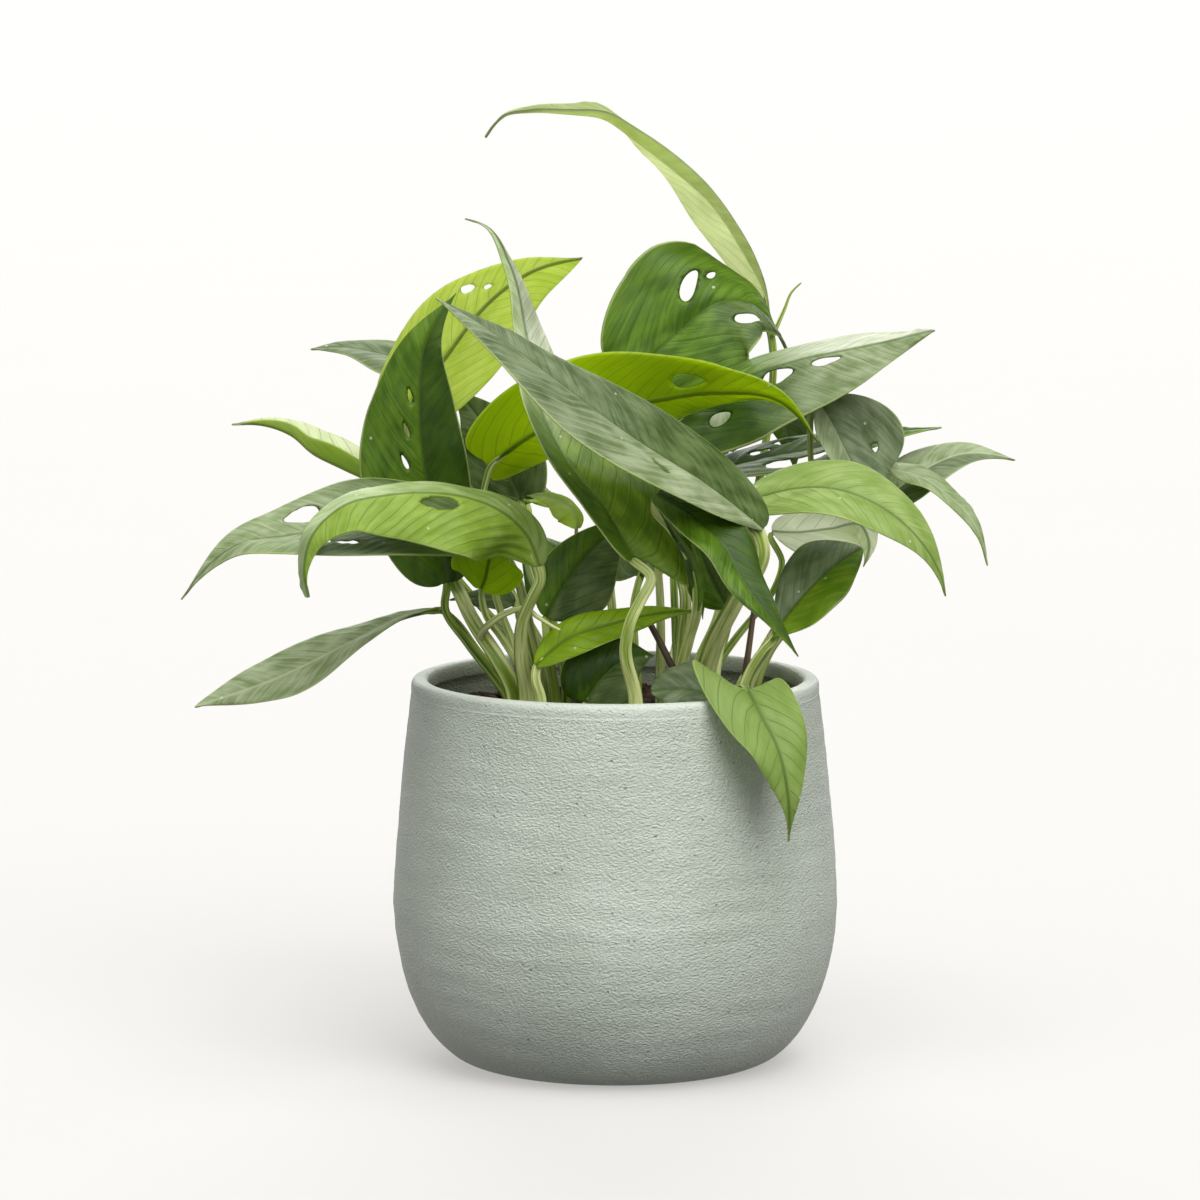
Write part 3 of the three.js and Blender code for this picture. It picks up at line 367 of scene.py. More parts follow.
        stalk=[[16, -8, 218], [18, -12, 190], [18, -16, 152]],
    ),
    dict(
        name="back_top", colour="dark",
        midrib=[[-6, 62, 248], [-10, 90, 260], [-15, 120, 255], [-21, 150, 235]],
        facing=[[0, 3, 9], [0, 6, 7]],
        width=[23, 23],
        stalk=[[-6, 58, 240], [-4, 44, 208], [-1, 32, 176], [0, 26, 152]],
    ),
    dict(
        name="back_left", colour="light",
        midrib=[[-36, 66, 221], [-50, 92, 228], [-66, 116, 221], [-76, 134, 202]],
        facing=[[0, 3, 9], [-2, 6, 6]],
        width=[20, 20],
        stalk=[[-36, 62, 211], [-36, 52, 196], [-28, 42, 178], [-15, 28, 152]],
    ),
    dict(
        name="back_right", colour="grey",
        midrib=[[46, 98, 240], [60, 118, 255], [72, 136, 249], [78, 152, 225]],
        facing=[[0, 3, 9], [3, 6, 6]],
        width=[22, 22],
        stalk=[[43, 93, 231], [33, 68, 193], [26, 50, 166], [23, 39, 148]],
    ),
    dict(
        name="back_low", colour="dark",
        midrib=[[-15, 50, 195], [-20, 78, 202], [-30, 104, 192], [-38, 122, 169]],
        facing=[[0, 3, 9], [-1, 8, 4]],
        width=[17, 17],
        stalk=[[-13, 46, 183], [-7, 38, 165], [-5, 32, 149]],
    ),
    dict(
        name="back_droop", colour="grey",
        midrib=[[10, 62, 191], [20, 90, 201], [32, 112, 191], [38, 126, 164]],
        facing=[[0, 3, 9], [2, 8, 4]],
        width=[19, 19],
        stalk=[[8, 56, 181], [8, 46, 164], [9, 40, 148]],
    ),
]

BLADE_DEFAULTS = {
    "widest": 0.32,
    "blunt": 0.6,
    "point": 1.4,
    "lobe": 0.1,
    "fold": 18,
    "curl": 30,
    "wave": 0.6,
    "holes": [],
    "stalkRadius": 1.4,
    "shoots": [],
    "sheath": None,
}

STEMS = [
    {"name": "old_stem", "radius": 1.6, "points": [[14, -20, 181], [20, -24, 170], [26, -26, 156]]},
    {"name": "twig", "radius": 1.4, "points": [[56, -8, 185], [54, -10, 170], [52, -12, 155]]},
]

# A tone is the darker and the paler colour that a leaf's face is mottled with.

TONES = {
    "deep": ((38, 68, 0), (66, 96, 6)),
    "green": ((60, 94, 4), (104, 140, 30)),
    "grey": ((54, 78, 18), (108, 128, 74)),
    "steel": ((82, 102, 60), (140, 154, 118)),
    "silver": ((120, 140, 86), (178, 190, 152)),
    "ash": ((152, 170, 120), (202, 212, 176)),
    "chalk": ((212, 220, 194), (240, 243, 228)),
    "leek": ((172, 196, 130), (214, 226, 184)),
    "mint": ((134, 160, 74), (166, 188, 114)),
    "sage": ((128, 156, 72), (146, 170, 92)),
    "fresh": ((88, 126, 0), (134, 166, 36)),
    "pearl": ((180, 190, 156), (224, 228, 206)),
    "light": ((134, 166, 40), (162, 190, 84)),
    "lime": ((176, 200, 84), (222, 232, 160)),
    "yellow": ((126, 164, 2), (152, 186, 20)),
}

# The underside of each kind of leaf: the tones of its left and right half, the share of light that comes
# through, and its colour.

UNDERS = {
    "deep": ("deep", "deep", 0.2, (190, 220, 50)),
    "green": ("green", "green", 0.3, (206, 234, 70)),
    "grey": ("grey", "grey", 0.3, (206, 234, 70)),
    "light": ("light", "light", 0.4, (220, 240, 120)),
    "yellow": ("yellow", "yellow", 0.4, (220, 240, 70)),
    "bright": ("yellow", "yellow", 0.78, (232, 248, 84)),
    "lime": ("lime", "lime", 0.78, (234, 246, 156)),
    "cream": ("lime", "leek", 0.82, (248, 252, 214)),
    "silver": ("pearl", "pearl", 0.7, (246, 250, 226)),
    "tipped": ("yellow", "chalk", 0.62, (236, 246, 180)),
}

# Marks on a leaf's faces: a colour, and for most of them the share with which it covers the mottle.

PINHOLE, PINHOLE_COVER = (236, 240, 214), 0.6
PINHOLES = 2.4
MARGIN, MARGIN_COVER = (196, 212, 136), 0.75
PALE_VEIN = (196, 208, 168)
DARK_VEIN = (70, 96, 30)
VEIN_COVER = 0.4
MIDRIB_COVER = 0.6
BESIDE_VEIN_COVER = 0.22
VEIN_WANDER = 0.5
LEAF_GLOSS = 0.32

# For each leaf: its underside, then the tones of the left and right half of its upper face near the base,
# and of its upper face near the tip if they differ. Besides each leaf's own silver and green, these tones
# hold
# painted sheen and painted shade: a half or a tip is made paler or darker to match how brightly it is lit.

LOOKS = {
    "crown": ("cream", "silver", "ash", "light", "ash"),
    "long": ("green", "green", "fresh", "leek", "pearl"),
    "front": ("green", "silver", "grey", "steel", "steel"),
    "upright": ("green", "green", "deep"),
    "backlit": ("lime", "lime", "lime"),
    "far_left": ("grey", "steel", "steel"),
    "left_tip": ("tipped", "yellow", "chalk", "pearl", "chalk"),
    "big_left": ("green", "grey", "grey", "silver", "silver"),
    "arching": ("yellow", "light", "mint", "light", "leek"),
    "low_left": ("grey", "silver", "silver"),
    "over": ("bright", "green", "green"),
    "fenestrated": ("green", "green", "green", "green", "grey"),
    "big_right": ("green", "green", "deep", "pearl", "silver"),
    "grey_right": ("grey", "steel", "silver", "steel", "silver"),
    "light_right": ("light", "mint", "mint"),
    "far_right": ("green", "silver", "steel"),
    "drooping_right": ("yellow", "silver", "silver"),
    "slitted": ("deep", "deep", "green"),
    "silver": ("silver", "chalk", "chalk", "chalk", "leek"),
    "rolled": ("green", "steel", "fresh"),
    "glossy": ("green", "deep", "green"),
    "over_rim": ("light", "sage", "sage"),
    "rumpled": ("grey", "steel", "steel"),
    "bright_low": ("yellow", "yellow", "yellow"),
    "dark_center": ("green", "green", "grey"),
    "small_yellow": ("bright", "yellow", "yellow"),
    "dark_low": ("deep", "grey", "grey"),
    "dark_behind": ("deep", "grey", "grey"),
    "pot_mouth": ("deep", "deep", "grey"),
    "little_curl": ("bright", "pearl", "silver"),
    "grey_center": ("green", "green", "grey"),
    "under_front": ("green", "green", "green"),
    "back_top": ("light", "green", "green"),
    "back_left": ("yellow", "light", "light"),
    "back_right": ("green", "silver", "grey"),
    "back_low": ("green", "green", "green"),
    "back_droop": ("green", "grey", "grey"),
}


def unit(vectors):
    return vectors / np.linalg.norm(vectors, axis=-1, keepdims=True)


def waves(points, size, seed, count=16):
    """A smooth random field from about -1 to 1 over points, whose humps are about size apart."""
    draw = np.random.default_rng(seed)
    points = np.asarray(points, float)
    total = np.zeros(points.shape[:-1])
    for _ in range(count):
        way = unit(draw.normal(size=points.shape[-1]))
        length = size * draw.uniform(0.7, 1.6)
        total += np.sin(points @ way * (2 * math.pi / length) + draw.uniform(0, 2 * math.pi))
    return total / math.sqrt(count)


class Spine:
    """A smooth curve through three or more points. It runs on straight before its first point."""

    def __init__(self, points):
        self.points = np.array(points, float)
        steps = np.diff(self.points, axis=0)
        self.spans = np.linalg.norm(steps, axis=1)
        self.total = self.spans.sum()
        self.knots = np.concatenate([[0], np.cumsum(self.spans)])
        steps = steps / self.spans[:, None]
        self.slopes = np.zeros_like(self.points)
        before, after = self.spans[:-1, None], self.spans[1:, None]
        self.slopes[1:-1] = (steps[:-1] * after + steps[1:] * before) / (before + after)
        self.slopes[0] = 1.5 * steps[0] - 0.5 * self.slopes[1]
        self.slopes[-1] = 1.5 * steps[-1] - 0.5 * self.slopes[-2]

    def point(self, share):
        along = np.asarray(share, float) * self.total
        i = np.clip(np.searchsorted(self.knots, along) - 1, 0, len(self.spans) - 1)
        span = self.spans[i]
        t = (along - self.knots[i]) / span
        s = 1 - t
        curve = (
            (s * s * (1 + 2 * t))[..., None] * self.points[i]
            + (t * s * s * span)[..., None] * self.slopes[i]
            + (t * t * (3 - 2 * t))[..., None] * self.points[i + 1]
            - (t * t * s * span)[..., None] * self.slopes[i + 1]
        )
        straight = self.points[0] + along[..., None] * self.slopes[0]
        return np.where((along <= 0)[..., None], straight, curve)

    def direction(self, share):
        step = 0.001
        share = np.asarray(share, float)
        return unit(self.point(share + step) - self.point(share - step))


class Blade:
    """A leaf's blade as a surface: a point for each share along the midrib and across the half width."""

    def __init__(self, leaf):
        values = {**BLADE_DEFAULTS, **leaf}
        for key in ("widest", "blunt", "point", "lobe"):
            pair = np.ravel(values[key])
            values[key] = np.array([pair[0], pair[-1]], float)
        values["width"] = np.array(values["width"], float)
        self.__dict__.update(values)
        self.spine = Spine(self.midrib)
        self.looks = unit(np.array(self.facing, float))
        self.seed = sum(map(ord, self.name))

    def half_width(self, along, half):
        """Half is 0 on the left of the midrib and 1 on its right."""
        widest = self.widest[half]
        near = np.clip(1 - (1 - along / widest) ** 2, 0, 1) ** self.blunt[half]
        rest = np.clip((along - widest) / (1 - widest), 0, 1)
        far = np.maximum(0, 1 - rest**1.7) ** self.point[half]
        return self.width[half] * np.where(along < widest, near, far)

    def frame(self, along):
        """The way to the tip, the way the upper face looks, and the way to the right."""
        forward = self.spine.direction(along)
        place = np.clip(along, 0, 1) * (len(self.looks) - 1)
        i = np.minimum(np.floor(place).astype(int), len(self.looks) - 2)
        blend = np.clip(place - i, 0, 1)
        blend = (blend * blend * (3 - 2 * blend))[..., None]
        up = self.looks[i] * (1 - blend) + self.looks[i + 1] * blend
        up = unit(up - np.sum(up * forward, axis=-1, keepdims=True) * forward)
        return forward, up, np.cross(forward, up)

    def at(self, along, across):
        along, across = np.broadcast_arrays(np.asarray(along, float), np.asarray(across, float))
        half = (across >= 0).astype(int)
        sign = np.where(across >= 0, 1.0, -1.0)
        size = np.abs(across)
        near_base = along / 0.08
        back = near_base * np.exp(1 - near_base)
        share = along - self.lobe[half] * back * size**1.5
        _, up, side = self.frame(share)
        reach = size * self.half_width(along, half)
        fold = math.radians(self.fold)
        bend = np.maximum(math.radians(self.curl) * size, 1e-4)
        out = reach / bend * (math.sin(fold) - np.sin(fold - bend))
        rise = reach / bend * (np.cos(fold - bend) - math.cos(fold))
        phase = np.where(sign > 0, 0.9, 2.6)
        ends = np.minimum(1, 4 * (1 - along)) * np.minimum(1, 6 * along)
        rise = rise + self.wave * size**2 * np.sin(5 * math.pi * along + phase) * ends
        return self.spine.point(share) + side * (sign * out)[..., None] + up * rise[..., None]

    def normal(self, along, across):
        a = np.clip(along, 0.012, 0.988)
        b = np.clip(across, -0.98, 0.98)
        lengthwise = self.at(a + 0.01, b) - self.at(a - 0.01, b)
        crosswise = self.at(a, b + 0.02) - self.at(a, b - 0.02)
        return unit(np.cross(crosswise, lengthwise))

    def relief(self, along, across):
        """Height of the quilting between side veins, of the groove over the midrib and of slow humps."""
        half = (across >= 0).astype(int)
        out = np.abs(across) * self.half_width(along, half)
        run = along * self.spine.total
        phase = vein_phase(run, out, self.seed)
        room = np.clip(out / 4, 0, 1) * np.clip((1 - np.abs(across)) / 0.2, 0, 1)
        quilting = -0.5 * QUILTING * np.cos(2 * math.pi * phase) * room
        groove = -MIDRIB_GROOVE * np.exp(-((out / 0.9) ** 2)) * (1 - 0.6 * along)
        humps = LEAF_HUMPS * waves(np.stack([run, out * np.sign(across)], -1), HUMP_SIZE, self.seed) * room
        return quilting + groove + humps


def vein_phase(run, out, seed):
    """Side veins are the lines where this is a whole number. They leave the midrib and sweep forward."""
    return (run - VEIN_SLANT * out - VEIN_SWEEP * out**2) / VEIN_SPACING + (seed % 7) / 7


class Shape:
    """Corners and faces that are gathered into one mesh.

    Flow is what the materials read at each corner. On a blade it is the way along the midrib and the way out
    from it, both in flow units, and the share of the half width. On a stalk it is the way along, and the
    cosine and sine of the angle around.
    """

    def __init__(self):
        self.corners, self.flow, self.faces, self.slots = [], [], [], []
        self.count = 0

    def add(self, corners, flow, faces, slot=0):
        """Slot is the place of the faces' material in the piece's list, one for all or one for each."""
        self.corners.append(np.asarray(corners, float))
        self.flow.append(np.asarray(flow, float))
        self.faces.extend([tuple(int(i) + self.count for i in face) for face in faces])
        self.slots.extend(np.broadcast_to(slot, len(faces)).tolist())
        self.count += len(corners)

    def build(self, name, materials):
        mesh = bpy.data.meshes.new(name)
        mesh.from_pydata((np.concatenate(self.corners) * MM).tolist(), [], self.faces)
        flow = mesh.attributes.new("flow", "FLOAT_VECTOR", "POINT")
        flow.data.foreach_set("vector", np.concatenate(self.flow).astype(np.float32).ravel())
        for material in materials:
            mesh.materials.append(material)
        mesh.polygons.foreach_set("material_index", self.slots)
        mesh.polygons.foreach_set("use_smooth", [True] * len(mesh.polygons))
        mesh.validate()
        mesh.update()
        piece = bpy.data.objects.new(name, mesh)
        bpy.context.scene.collection.objects.link(piece)
        return piece


UPPER, UNDER, STALK = 0, 1, 2


def hole_measure(blade, hole, along, across):
    """Below 1 inside the hole's egg-shaped outline."""
    centre, side, length, width, turn = hole
    angle = math.radians(turn)
    reach = blade.half_width(np.array(centre), int(side >= 0))
    a = (along - centre) * blade.spine.total
    b = (across - side) * reach
    u = (a * math.cos(angle) - b * math.sin(angle)) / (length / 2)
    v = (-a * math.sin(angle) - b * math.cos(angle)) / (width / 2)
    return u**2 + (v / (1 - HOLE_TAPER * np.clip(u, -1.5, 1.5))) ** 2


def hole_outline(blade, hole):
    """Shares along and across for corners around the hole."""
    centre, side, length, width, turn = hole
    angle = math.radians(turn)
    reach = blade.half_width(np.array(centre), int(side >= 0))
    t = np.linspace(0, 2 * math.pi, HOLE_CORNERS, endpoint=False)
    u = np.cos(t) * length / 2
    v = np.sin(t) * (1 - HOLE_TAPER * np.cos(t)) * width / 2
    a = u * math.cos(angle) - v * math.sin(angle)
    b = -u * math.sin(angle) - v * math.cos(angle)
    return centre + a / blade.spine.total, side + b / reach


def blade_net(blade, spacing):
    """Points over the blade as shares, its faces, and which points lie on an edge.

    The rows crowd at both ends and the columns at both sides.
    """
    length = blade.spine.total
    rows = max(14, round(length / spacing))
    columns = max(8, 2 * round(blade.width.sum() / spacing / 2))
    t = np.linspace(0, 1, rows + 1)
    along = 0.003 + 0.995 * (t - 0.11 * np.sin(2 * math.pi * t))
    s = np.linspace(-1, 1, columns + 1)
    across = s * (0.75 + 0.25 * s**2)
    across = np.sort(np.concatenate([across, [-0.975, 0.975]]))
    u, v = np.meshgrid(along, across, indexing="ij")
    rim = np.zeros(u.shape, bool)
    rim[0, :] = rim[-1, :] = rim[:, 0] = rim[:, -1] = True
    if not blade.holes:
        index = np.arange(u.size).reshape(u.shape)
        faces = np.stack([index[:-1, :-1], index[:-1, 1:], index[1:, 1:], index[1:, :-1]], -1)
        return u.ravel(), v.ravel(), faces.reshape(-1, 4).tolist(), rim.ravel()
    keep = np.ones(u.shape, bool)
    for hole in blade.holes:
        margin = 1 + 1.4 * spacing / min(hole[2], hole[3])
        keep &= hole_measure(blade, hole, u, v) > margin
    keep |= rim
    u, v, rim = u[keep], v[keep], rim[keep]
    edges = []
    for hole in blade.holes:
        a, b = hole_outline(blade, hole)
        first, count = len(u), len(a)
        edges += [(first + i, first + (i + 1) % count) for i in range(count)]
        u, v = np.concatenate([u, a]), np.concatenate([v, b])
        rim = np.concatenate([rim, np.ones(count, bool)])
    scale = blade.width.mean()
    flat = [Vector((x * length, y * scale)) for x, y in zip(u, v)]
    _, _, triangles, origin, *_ = delaunay_2d_cdt(flat, edges, [], 0, 1e-5)
    chosen = np.array([ids[0] if ids else 0 for ids in origin])
    u, v, rim = u[chosen], v[chosen], rim[chosen]
    faces = np.array(triangles)
    middle_u, middle_v = u[faces].mean(1), v[faces].mean(1)
    solid = np.ones(len(faces), bool)
    for hole in blade.holes:
        solid &= hole_measure(blade, hole, middle_u, middle_v) > 0.98
    return u, v, faces[solid].tolist(), rim


def add_blade(shape, blade, spacing):
    """An upper and a lower skin that meet at every edge. The lower one has the midrib's rib."""
    u, v, faces, rim = blade_net(blade, spacing)
    centre = blade.at(u, v)
    normal = blade.normal(u, v)
    centre = centre + normal * blade.relief(u, v)[:, None]
    half = (v >= 0).astype(int)
    out = np.abs(v) * blade.half_width(u, half)
    rib_size = np.maximum(0.75 * blade.stalkRadius * (1 - u) ** 1.2, 0.2)
    rib = rib_size * np.exp(-((out / np.maximum(rib_size, 0.6)) ** 2)) * np.clip(40 * (1 - u), 0, 1)
    upper = centre + normal * (BLADE_THICKNESS / 2)
    under = centre - normal * (BLADE_THICKNESS / 2 + rib)[:, None]
    upper[rim] = centre[rim]
    flow = np.stack([u * blade.spine.total / FLOW_UNIT, out * np.sign(v) / FLOW_UNIT, np.abs(v)], -1)
    inner = np.flatnonzero(~rim)
    lower = np.arange(len(u))
    lower[inner] = len(u) + np.arange(len(inner))
    test = faces[len(faces) // 2]
    a, b, c = (upper[i] for i in test[:3])
    if np.dot(np.cross(b - a, c - a), normal[test[0]]) < 0:
        faces = [face[::-1] for face in faces]
    below = [tuple(lower[i] for i in reversed(face)) for face in faces]
    corners = np.concatenate([upper, under[inner]])
    slots = np.repeat([UPPER, UNDER], len(faces))
    shape.add(corners, np.concatenate([flow, flow[inner]]), list(faces) + below, slots)


CHANNEL_FACING = (0.4, -1, 0.3)


def ring_indices(rings, sides):
    """The numbers of corners that lie in rings, and beside each the number of its neighbour in the ring."""
    index = np.arange(rings * sides).reshape(-1, sides)
    return index, np.roll(index, -1, axis=1)


def add_tube(shape, points, radius_at, spacing=1.6, sides=14, groove=0.0, flat=1.0):
    """A stem that is closed at both ends.

    Groove is the depth of the channel along its front as a share of the radius, and flat is how much wider
    it is across the channel. Radius_at gives the radius for each share of its length.
    """
    path = Spine(points)
    steps = max(8, round(path.total / spacing))
    share = np.linspace(0, 1, steps + 1)
    centre, forward = path.point(share), path.direction(share)
    look = unit(np.array(CHANNEL_FACING, float))
    ups = []
    for way in forward:
        look = unit(look - np.dot(look, way) * way)
        ups.append(look)
    ups = np.array(ups)
    sides_way = np.cross(forward, ups)
    angle = np.linspace(0, 2 * math.pi, sides, endpoint=False)
    turn = np.minimum(angle, 2 * math.pi - angle)
    channel = np.exp(-((turn / 0.55) ** 2))
    channel_edge = np.exp(-(((turn - 1) / 0.35) ** 2))
    profile = 1 - groove * channel + 0.5 * groove * channel_edge
    radius = np.array([radius_at(x) for x in share])
    ring = ups[:, None] * np.cos(angle)[None, :, None] / flat
    ring = ring + sides_way[:, None] * np.sin(angle)[None, :, None] * flat
    corners = centre[:, None] + ring * (radius[:, None] * profile)[..., None]
    flow = np.zeros(corners.shape)
    flow[..., 0] = share[:, None] * path.total / FLOW_UNIT
    flow[..., 1] = np.cos(angle)
    flow[..., 2] = np.sin(angle)
    index, following = ring_indices(len(corners), sides)
    faces = np.stack([index[:-1], index[1:], following[1:], following[:-1]], -1).reshape(-1, 4).tolist()
    last = len(index) * sides
    ends = [centre[0] - forward[0] * radius[0] * 0.4, centre[-1] + forward[-1] * radius[-1] * 0.4]
    faces += [(last, index[0][i], following[0][i]) for i in range(sides)]
    faces += [(last + 1, following[-1][i], index[-1][i]) for i in range(sides)]
    corners = np.concatenate([corners.reshape(-1, 3), ends])
    flow = np.concatenate([flow.reshape(-1, 3), [[0, 0, 0], [path.total / FLOW_UNIT, 0, 0]]])
    shape.add(corners, flow, faces, STALK)


# Materials.


def linear(colour):
    """A colour of 0 to 255 as the eye reads it, as the light it sends back."""
    share = np.array(colour, float) / 255
    share = np.where(share <= 0.04045, share / 12.92, ((share + 0.055) / 1.055) ** 2.4)
    return (*share.tolist(), 1.0)


class Graph:
    """A short way to write a material's nodes."""

    def __init__(self, name):
        self.material = bpy.data.materials.new(name)
        self.material.use_nodes = True
        self.tree = self.material.node_tree
        self.tree.nodes.clear()
        self.output = self.tree.nodes.new("ShaderNodeOutputMaterial")

    def put(self, socket, value):
        if isinstance(value, bpy.types.NodeSocket):
            self.tree.links.new(value, socket)
        else:
            socket.default_value = value

    def node(self, kind, settings=None, **inputs):
        made = self.tree.nodes.new("ShaderNode" + kind)
        for key, value in (settings or {}).items():
            setattr(made, key, value)
        for key, value in inputs.items():
            self.put(made.inputs[key.replace("_", " ")], value)
        return made

    def math(self, operation, *values):
        made = self.tree.nodes.new("ShaderNodeMath")
        made.operation = operation
        for i, value in enumerate(values):
            self.put(made.inputs[i], value)
        return made.outputs[0]

    def times(self, first, second):
        return self.math("MULTIPLY", first, second)

    def plus(self, first, second):
        return self.math("ADD", first, second)

    def minus(self, first, second):
        return self.math("SUBTRACT", first, second)

    def inverse(self, value):
        return self.minus(1.0, value)

    def total(self, *terms):
        """The sum of values, each with its weight."""
        value, *rest = (self.times(*term) for term in terms)
        for other in rest:
            value = self.plus(value, other)
        return value

    def vector(self, x, y, z):
        return self.node("CombineXYZ", X=x, Y=y, Z=z).outputs[0]

    def parts(self, vector):
        return self.node("SeparateXYZ", Vector=vector).outputs

    def flow(self):
        return self.parts(self.node("Attribute", {"attribute_name": "flow"}).outputs["Vector"])

    def place(self):
        return self.node("TexCoord").outputs["Object"]

    def noise(self, place, scale, detail=2.0, roughness=0.5):
        made = self.node("TexNoise", Vector=place, Scale=scale, Detail=detail, Roughness=roughness)
        return made.outputs[0]

    def step(self, value, low, high):
        """0 below low and 1 above high, with a smooth rise between."""
        made = self.node("MapRange", {"interpolation_type": "SMOOTHSTEP"})
        for i, number in enumerate((value, low, high, 0.0, 1.0)):
            self.put(made.inputs[i], number)
        return made.outputs[0]

    def spots(self, place, scale, low, high, **settings):
        """1 in round spots that are strewn over place, and 0 between them."""
        made = self.node("TexVoronoi", settings, Vector=place, Scale=scale)
        return self.inverse(self.step(made.outputs[0], low, high))

    def mix(self, share, first, second):
        made = self.node("Mix", {"data_type": "RGBA"})
        self.put(made.inputs[0], share)
        self.put(made.inputs[6], first)
        self.put(made.inputs[7], second)
        return made.outputs[2]

    def tint(self, colour, second, mask, weight):
        """Colour, covered with a second one by the weight where the mask is 1."""
        return self.mix(self.times(mask, weight), colour, second)

    def surface(self, colour, roughness, height=None, lift=1.0, distance=0.0004, **shader_values):
        shader = self.node("BsdfPrincipled")
        self.put(shader.inputs["Base Color"], colour)
        self.put(shader.inputs["Roughness"], roughness)
        for key, value in shader_values.items():
            self.put(shader.inputs[key.replace("_", " ")], value)
        if height is not None:
            bump = self.node("Bump", Height=height, Strength=lift, Distance=distance)
            self.put(shader.inputs["Normal"], bump.outputs[0])
        return shader.outputs[0]

    def finish(self, shader):
        self.put(self.output.inputs[0], shader)
        return self.material


def leaf_material(name, near, far, length, seed, glow, glow_colour):
    """Softly mottled green with side veins that sweep forward, a thin midrib and a pale margin.

    Near and far are the tones of the left and right half near the base and the tip of a blade of that
    length, with the painted sheen and shade they hold. Glow is the share of light that comes through.
    """
    g = Graph(name)
    run, across, rim = g.flow()
    out = g.math("ABSOLUTE", across)
    place = g.vector(run, across, seed * 1.7)
    slow = g.noise(place, 7.0)
    swept = g.plus(g.times(out, VEIN_SLANT), g.times(g.times(out, out), FLOW_UNIT * VEIN_SWEEP))
    phase = g.times(g.minus(run, swept), FLOW_UNIT / VEIN_SPACING)
    phase = g.plus(phase, (seed % 7) / 7)
    phase = g.plus(phase, g.times(g.minus(slow, 0.5), VEIN_WANDER))
    line = g.math("PINGPONG", phase, 0.5)
    vein = g.times(g.inverse(g.step(line, 0.0, 0.06)), g.step(out, 0.004, 0.02))
    beside_vein = g.inverse(g.step(line, 0.03, 0.22))
    midrib = g.inverse(g.step(out, 0.004, 0.010))

    # Mottles along the side veins, broad blotches and thin streaks.

    streak = g.noise(g.vector(g.times(phase, 1.7), g.times(across, 8.0), seed), 1.0, 1.0)
    blotch = g.noise(g.vector(g.times(run, 8.0), g.times(across, 15.0), seed), 1.0, 2.0)
    thin = g.noise(g.vector(g.times(phase, 5.0), g.times(across, 9.0), seed), 1.0, 2.0)
    share = g.step(g.total((streak, 0.22), (blotch, 0.5), (thin, 0.28)), 0.36, 0.64)
    half = g.step(across, -0.004, 0.004)
    onward = g.step(run, 0.25 * length, 0.7 * length)

    def shade(which):
        ends = [g.mix(half, *(linear(TONES[tone][which]) for tone in pair)) for pair in (near, far)]
        return g.mix(onward, *ends)

    dark, pale = shade(0), shade(1)
    colour = g.mix(share, dark, pale)
    vein_colours = [linear(PALE_VEIN if tone in ("silver", "pearl") else DARK_VEIN) for tone in near]
    vein_colour = g.mix(half, *vein_colours)
    colour = g.tint(colour, pale, beside_vein, BESIDE_VEIN_COVER)
    colour = g.tint(colour, vein_colour, vein, VEIN_COVER)
    colour = g.tint(colour, vein_colour, midrib, MIDRIB_COVER)
    strewn = g.vector(g.plus(run, seed * 3.1), across, 0.0)
    pinhole = g.spots(strewn, PINHOLES, 0.008, 0.018, voronoi_dimensions="2D")
    colour = g.tint(colour, linear(PINHOLE), pinhole, PINHOLE_COVER)
    colour = g.tint(colour, linear(MARGIN), g.step(rim, 0.95, 0.985), MARGIN_COVER)

    fine = g.noise(place, 220.0, 2.0)
    height = g.total((thin, 0.5), (vein, -0.6), (fine, 0.1))
    roughness = g.plus(0.34, g.times(blotch, 0.2))
    skin = g.surface(colour, roughness, height, 0.5, 0.0006, Specular_IOR_Level=LEAF_GLOSS)

    # The light that comes through. The veins stay darker in it.

    glowing = g.mix(0.8 * glow, colour, linear(glow_colour))
    lines = g.math("MAXIMUM", g.times(vein, 0.4 * glow), g.times(midrib, 0.75 * glow))
    glowing = g.mix(lines, glowing, vein_colour)
    through = g.node("BsdfTranslucent", Color=glowing).outputs[0]
    both = g.node("MixShader")
    for i, value in enumerate((glow, skin, through)):
        g.put(both.inputs[i], value)
    return g.finish(both.outputs[0])


def stalk_material(name, dark, pale, seed):
    """Lengthwise streaks of a pale and a darker colour, a pale ridge on each side of the channel, and painted
    shade that darkens one side of the stalk.
    """
    g = Graph(name)
    run, front, side = g.flow()
    along = g.times(run, 2.0)
    streak = g.noise(g.vector(along, front, g.plus(side, seed * 2.3)), 1.3, 2.0, 0.6)
    thin = g.noise(g.vector(along, front, side), 5.0, 2.0)
    # The side term is painted shade: it makes one side of every stalk a little darker.
    mixed = g.total((streak, 0.75), (thin, 0.25), (side, -0.08))
    colour = g.mix(g.step(mixed, 0.36, 0.62), linear(dark), linear(pale))
    from_ridge = g.math("ABSOLUTE", g.minus(g.math("ABSOLUTE", side), 0.82))
    ridge = g.times(g.inverse(g.step(from_ridge, 0.02, 0.14)), g.step(front, 0.0, 0.3))
    colour = g.tint(colour, linear(pale), ridge, 0.7)
    roughness = g.plus(0.4, g.times(thin, 0.15))
    return g.finish(g.surface(colour, roughness, g.plus(streak, thin), 0.3, 0.0003))


STALK_TONES = {
    "pale": ((112, 138, 26), (206, 214, 144)),
    "green": ((72, 102, 6), (164, 186, 80)),
    "bark": ((52, 38, 26), (98, 76, 52)),
}


def planted(points):
    """The points of a stalk, and two more that carry it straight down into the soil."""
    x, y, _ = points[-1]
    return [*points, *([x, y, height] for height in STALK_ENDS)]


# How far under the midrib a stalk runs, in its own radii, at three shares along the blade.

STALK_JOINT = ((0.10, 0.4), (0.05, 0.75), (0.01, 1.0))


